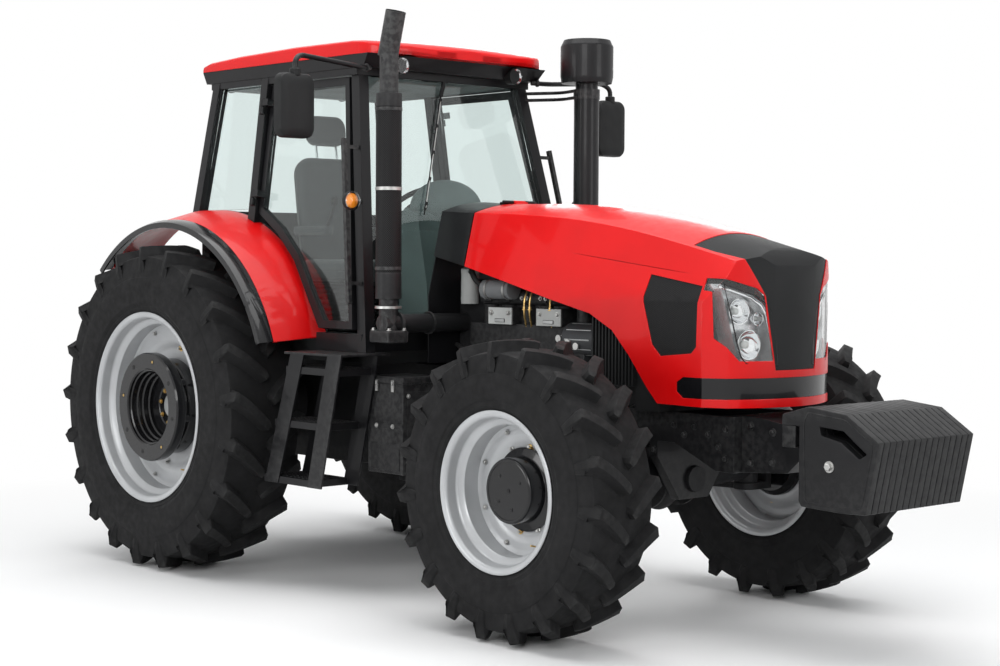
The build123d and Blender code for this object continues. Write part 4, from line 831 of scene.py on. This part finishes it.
# Wiper: motor, arm with its spring and a blade with a rubber lip
made = Shape()
low, high = Vector((1268, -250, 1890)), Vector((1122, 0, 2612))
along = unit(low - high)
made.turned([(0, 24), (16, 24), (20, 18)], high + Vector((2, 0, -8)), (1, 0, 0.2), black_plastic, 24)
made.tube([high, high + along * 200, high + along * 420], 5.5, black_plastic, 10)
made.box(high + along * 60 + Vector((6, 0, 0)), (14, 22, 90), black_plastic, soft=4, turn=(-17, "X"))
blade = high + along * 440
for offset in (-300, -150, 0, 150, 290):
    made.box(blade + along * offset + Vector((3, 0, 0)), (8, 14, 44), black_plastic, soft=2, turn=(-19, "X"))
made.tube([blade - along * 330, low], 4, soft_rubber, 8)
made.tube([blade + along * end + Vector((5, 0, 0)) for end in (-320, 300)], 3, zinc, 8)
made.piece("wiper_arm", replaces=("wiper",))

# Battery box fittings: lid seam, strap, two latches and a bracket
made = Shape()
made.box((1540, -600, 1072), (274, 250, 30), black_paint, soft=6)
made.box((1540, -600, 1055), (277, 253, 6), black_plastic, soft=1)
made.box((1540, -724.5, 850), (262, 4, 26), cast_black, soft=1)
for x in (1478, 1602):
    made.box((x, -726, 1046), (26, 9, 62), zinc)
    made.box((x, -730, 1060), (14, 6, 22), bright_steel, soft=2)
    made.bolt((x, -727, 850), RIGHT, 8, zinc)
made.box((1540, -724, 700), (220, 3, 130), cast_black, soft=4)
made.box((1674.5, -600, 900), (3, 190, 240), cast_black, soft=4)
for y, z in ((-690, 680), (-510, 680), (-690, 1000), (-510, 1000)):
    made.bolt((1675, y, z), AHEAD, 8, zinc)
made.piece("battery_box_fittings")

# Fuel tank fittings: filler neck and straps
made = Shape()
made.turned([(0, 40), (30, 40), (34, 52), (60, 52), (66, 46)], (1560, 640, 1112), UP, black_plastic, 32)
for x in (1470, 1650):
    made.box((x, 731.5, 860), (34, 3, 500), cast_black, soft=1)
    made.bolt((x, 732, 700), LEFT, 8, zinc)
made.piece("fuel_tank_fittings")

# Steps: pierced grip edges on each tread
made = Shape()
for side in (1, -1):
    for x, z in ((1250, 1128), (1155, 858), (1065, 573)):
        for n in range(12):
            for m in range(5):
                made.turned([(0, 9), (3, 7.5), (3.5, 4)], (x - 181 + n * 33, side * (765 + m * 40), z - 0.5), UP,
                            black_paint, 10)
        for reach, ahead in ((747, -120), (747, 120), (948, -120), (948, 120)):
            made.bolt((x + ahead, side * reach, z - 18), (0, side, 0), 8, zinc, 6)
made.piece("step_studs")

# Chassis fittings: bolts on frame and carrier, axle bolts, steering cylinder and hoses
made = Shape()
for side in (1, -1):
    for x, z in ((2340, 905), (2340, 960), (2420, 905), (2420, 960), (2560, 930), (3000, 930), (3060, 890),
                 (3120, 930), (3200, 900), (3260, 850), (3300, 930), (3300, 800), (2480, 810), (2880, 810)):
        made.bolt((x, side * 249, z), (0, side, 0), 11, zinc if x < 2500 else black_paint)
    for x, z in ((3400, 950), (3400, 790), (3520, 930), (3520, 800)):
        made.bolt((x, side * 199, z), (0, side, 0), 12, black_paint)
    for c, s in circle(12):
        made.bolt((2690 + c * 84, side * 118, 660 + s * 84), (0, side, 0), 8, zinc)
    made.turned([(0, 150), (14, 150), (18, 140)], (2690, side * 104, 660), (0, side, 0), cast_black, 48)
    made.tube([(2520, side * 120, 660), (2500, side * 300, 640), (2505, side * 560, 560)], 18, cast_black, 16)
    made.rod((2502, side * 330, 638), (2504, side * 500, 580), 12, bright_steel, 16)
    made.tube([(2560, side * 180, 900), (2600, side * 330, 800), (2640, side * 480, 730), (2660, side * 560, 730)],
              8, soft_rubber, 10, bend=80)
made.rod((2520, -210, 660), (2520, 210, 660), 36, black_paint, 28)
x, y = INTAKE
for z in (2530, 2566):
    made.tube([(1130, 560, z), (1330, y - 20, z), (x, y - 66, z)], 9, black_paint, 12, bend=60)
for z, tall in ((2522, 52), (1700, 30)):
    made.turned([(0, 68), (0, 71), (tall, 71), (tall, 68)], (x, y, z), UP, black_paint, 48, ring=True)
made.piece("chassis_fittings")

# Weights: lifting grips, a clamp bolt and the raised rim of the outer plates
made = Shape()
for side in (1, -1):
    made.bolt((3923, side * 334, 826), (0, side, 0), 16, zinc)
    outline = [(3812, 1040), (3998, 1022), (4138, 930), (4084, 668), (3978, 662), (3800, 670), (3790, 1000)]
    made.tube([(x, side * 334.5, z) for x, z in outline + outline[:1]], 3.5, cast_black, 8, bend=24)
made.rod((3716, -332, 1003), (3716, 332, 1003), 9, zinc, 16)
made.piece("weight_fittings")

# Seat: a sprung base with bellows, then padded cushion, back, headrest and armrests
made = Shape()
made.box((330, 0, 1225), (300, 300, 50), black_plastic, soft=8)
for n in range(9):
    z = 1252 + n * 30
    made.skin([[(330 + a * half, b * half, z + lift) for a, b in SQUARE]
               for half, lift in ((126, 0), (146, 15), (126, 30))], soft_rubber)
made.box((360, 0, 1536), (440, 440, 28), black_plastic, soft=8)
for side in (1, -1):
    made.rod((170, side * 200, 1800), (170, side * 236, 1812), 14, zinc, 16)
for y in (70, -70):
    made.rod((128, y, 2180), (108, y, 2310), 8, chrome, 16)
made.piece("seat_base", replaces=("seat",))


def seat_plane(along_y, up, out):
    """A point on the leaning seat back, from its middle."""
    return Vector((165 - 0.134 * up + 0.991 * out, along_y, 1930 + 0.991 * up + 0.134 * out))


def pad(name, width, height, depth, corner, place):
    """A padded block with bulging faces, from a rounded outline and a function that places it."""
    made = Shape()
    rings = []
    for out, inset in ((-1.0, 0.30), (-0.92, 0.12), (-0.6, 0.02), (-0.08, 0.0), (-0.04, 0.012), (0.04, 0.012),
                       (0.08, 0.0), (0.6, 0.02), (0.92, 0.12), (1.0, 0.30)):
        inward = inset * min(width, height) / 2
        w, h = width / 2 - inward, height / 2 - inward
        rings.append([place(a, b, out * depth) for a, b in rounded_block(w, h, min(corner, w, h))])
    made.skin(rings, seat_cloth)
    made.piece(name, angle=60)


pad("seat_cushion", 496, 496, 64, 80, lambda a, b, c: Vector((360 + a, b, 1594 + c)))
pad("seat_backrest", 456, 596, 46, 100, seat_plane)
pad("seat_headrest", 256, 166, 38, 60, lambda a, b, c: seat_plane(a, b + 455, c))
for side, word in SIDES:
    pad(f"seat_armrest_{word}", 318, 54, 25, 22, lambda a, b, c: Vector((310 + a, side * 236 + b, 1815 + c)))

# Seat fittings, levers, wheel hub and liners inside the cab
made = Shape()
made.plate([(-80, -520), (1080, -520), (1080, 520), (-80, 520)], (0, 0, 2588), AHEAD, LEFT, 8, liner, soft=3)
made.plate([(-100, -630), (1330, -630), (1330, 630), (-100, 630)], (0, 0, 1200), AHEAD, LEFT, 5, floor_mat)
for side in (1, -1):
    made.plate([(-120, 1240), (980, 1240), (700, 1640), (350, 1860), (-120, 1890)], (0, side * 636, 0), AHEAD,
               UP, 4, dash_plastic)
for y in (-120, 120):
    made.tube([(1060, y, 1850), (985, y * 1.5, 1880), (960, y * 1.9, 1890)], 8, black_plastic, 12, bend=30)
    made.ball((955, y * 1.95, 1891), (15, 15, 15), black_plastic)
made.ball((1150, 0, 1930), (82, 240, 148), dash_plastic, 40, 20)
for y, z in ((-110, 1962), (0, 1978), (110, 1962)):
    made.turned([(0, 46), (10, 46), (12, 41), (5, 39), (5, 0.1)], (1078, y, z), (-0.8, 0, 0.6), chrome, 40)
made.turned([(0, 46), (10, 50), (22, 50), (30, 40)], Vector(WHEEL_CENTRE) + Vector((-14, 0, 15)), (-0.678, 0, 0.735),
            black_plastic, 32)
made.tube([(520, -300, 1840), (560, -300, 1900), (575, -296, 1960)], 9, black_plastic, 12, bend=30)
made.ball((578, -295, 1972), (20, 20, 26), black_plastic)
made.piece("cab_trim")

# Rear fittings: pins and springs of the hitch
made = Shape()
made.rod((-870, 0, 455), (-870, 0, 560), 14, zinc, 20)
made.tube([(-870, 0, 556), (-870, 40, 572), (-840, 60, 560)], 5, zinc, 8, bend=14)
for side in (1, -1):
    made.rod((-600, side * 270, 1140), (-600, side * 330, 1140), 14, zinc, 18)
made.piece("hitch_fittings")

# Camera at the photograph's viewpoint
CAMERA_PLACE = (6.934, -6.408, 1.660)
YAW, PITCH, ROLL = radians(47.431), radians(2.257), radians(0.319)
FOCAL_LENGTH = 66.805
camera = put_in_scene("camera", bpy.data.cameras.new("camera"))
back = Vector((sin(YAW) * cos(PITCH), -cos(YAW) * cos(PITCH), sin(PITCH)))
right = (-back).cross(Vector(UP)).normalized()
up = right.cross(-back)
right, up = right * cos(ROLL) + up * sin(ROLL), up * cos(ROLL) - right * sin(ROLL)
camera.matrix_world = Matrix.Translation(CAMERA_PLACE) @ Matrix((right, up, back)).transposed().to_4x4()
camera.data.lens = FOCAL_LENGTH
camera.data.sensor_width = 36
camera.data.clip_end = 200
scene.camera = camera

# Soft studio light and a white surround
world = bpy.data.worlds.new("studio")
scene.world = world
world.use_nodes = True
tree = world.node_tree
light = tree.nodes["Background"]
settle(light, {"Color": (0.95, 0.98, 1.0, 1), "Strength": 0.34})
white = tree.nodes.new("ShaderNodeBackground")
settle(white, {"Color": (1, 1, 1, 1), "Strength": 1.0})
send_mix(tree, white_rays(tree), light.outputs["Background"], white.outputs["Background"], "World Output")

for name, spot, target, size, watts in (
        ("top", (0.3, -0.5, 7.0), (0, 0, 0), (8, 6), 470), ("key", (5.5, -7.5, 4.2), (0, 0, 1.2), (4, 3), 240),
        ("side", (-2.6, -9.0, 2.6), (-0.8, 0, 1.2), (3, 3), 170),
        ("front", (8.5, 2.0, 3.5), (0.8, 0, 1.3), (3, 3), 130), ("rear", (-6.0, 6.5, 4.0), (0, 0, 1.3), (4, 3), 170)):
    data = bpy.data.lights.new(name, "AREA")
    data.shape = "RECTANGLE"
    data.size, data.size_y = size
    data.energy = watts
    lamp = put_in_scene(name, data)
    lamp.location = spot
    lamp.rotation_euler = (Vector(target) - Vector(spot)).to_track_quat("-Z", "Y").to_euler()
    lamp.visible_camera = lamp.visible_transmission = False

# Pale floor that fades to the white surround
floor_data = bpy.data.meshes.new("floor")
REACH = 60
FADE = (2.2, 5.6)
floor_data.from_pydata([(a * REACH, b * REACH, 0) for a, b in SQUARE], [], [(0, 1, 2, 3)])
floor = put_in_scene("floor", floor_data)
ground, tree, shader, place = new_material("pale_floor")
settle(shader, {"Base Color": (0.93, 0.93, 0.93, 1), "Roughness": 0.6, "Specular IOR Level": 0.15})
glow = tree.nodes.new("ShaderNodeEmission")
length = tree.nodes.new("ShaderNodeVectorMath")
length.operation = "LENGTH"
tree.links.new(place, length.inputs[0])
far = remap(tree, length.outputs["Value"], *FADE, 0, 1)
send_mix(tree, calc(tree, "MULTIPLY", far, white_rays(tree)), shader.outputs["BSDF"], glow.outputs["Emission"])
floor_data.materials.append(ground)
floor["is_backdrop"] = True

# White backdrop behind the object, seen by the camera, through glass and in metal
shell = bmesh.new()
bmesh.ops.create_uvsphere(shell, u_segments=48, v_segments=24, radius=REACH * 0.98)
backdrop_data = bpy.data.meshes.new("backdrop")
shell.to_mesh(backdrop_data)
shell.free()
backdrop = put_in_scene("backdrop", backdrop_data)
paper, tree, shader, place = new_material("white_backdrop")
glow = tree.nodes.new("ShaderNodeEmission")
passing = tree.nodes.new("ShaderNodeBsdfTransparent")
send_mix(tree, white_rays(tree), passing.outputs["BSDF"], glow.outputs["Emission"])
backdrop_data.materials.append(paper)
backdrop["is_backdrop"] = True

scene.view_settings.view_transform = "Standard"

low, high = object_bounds()
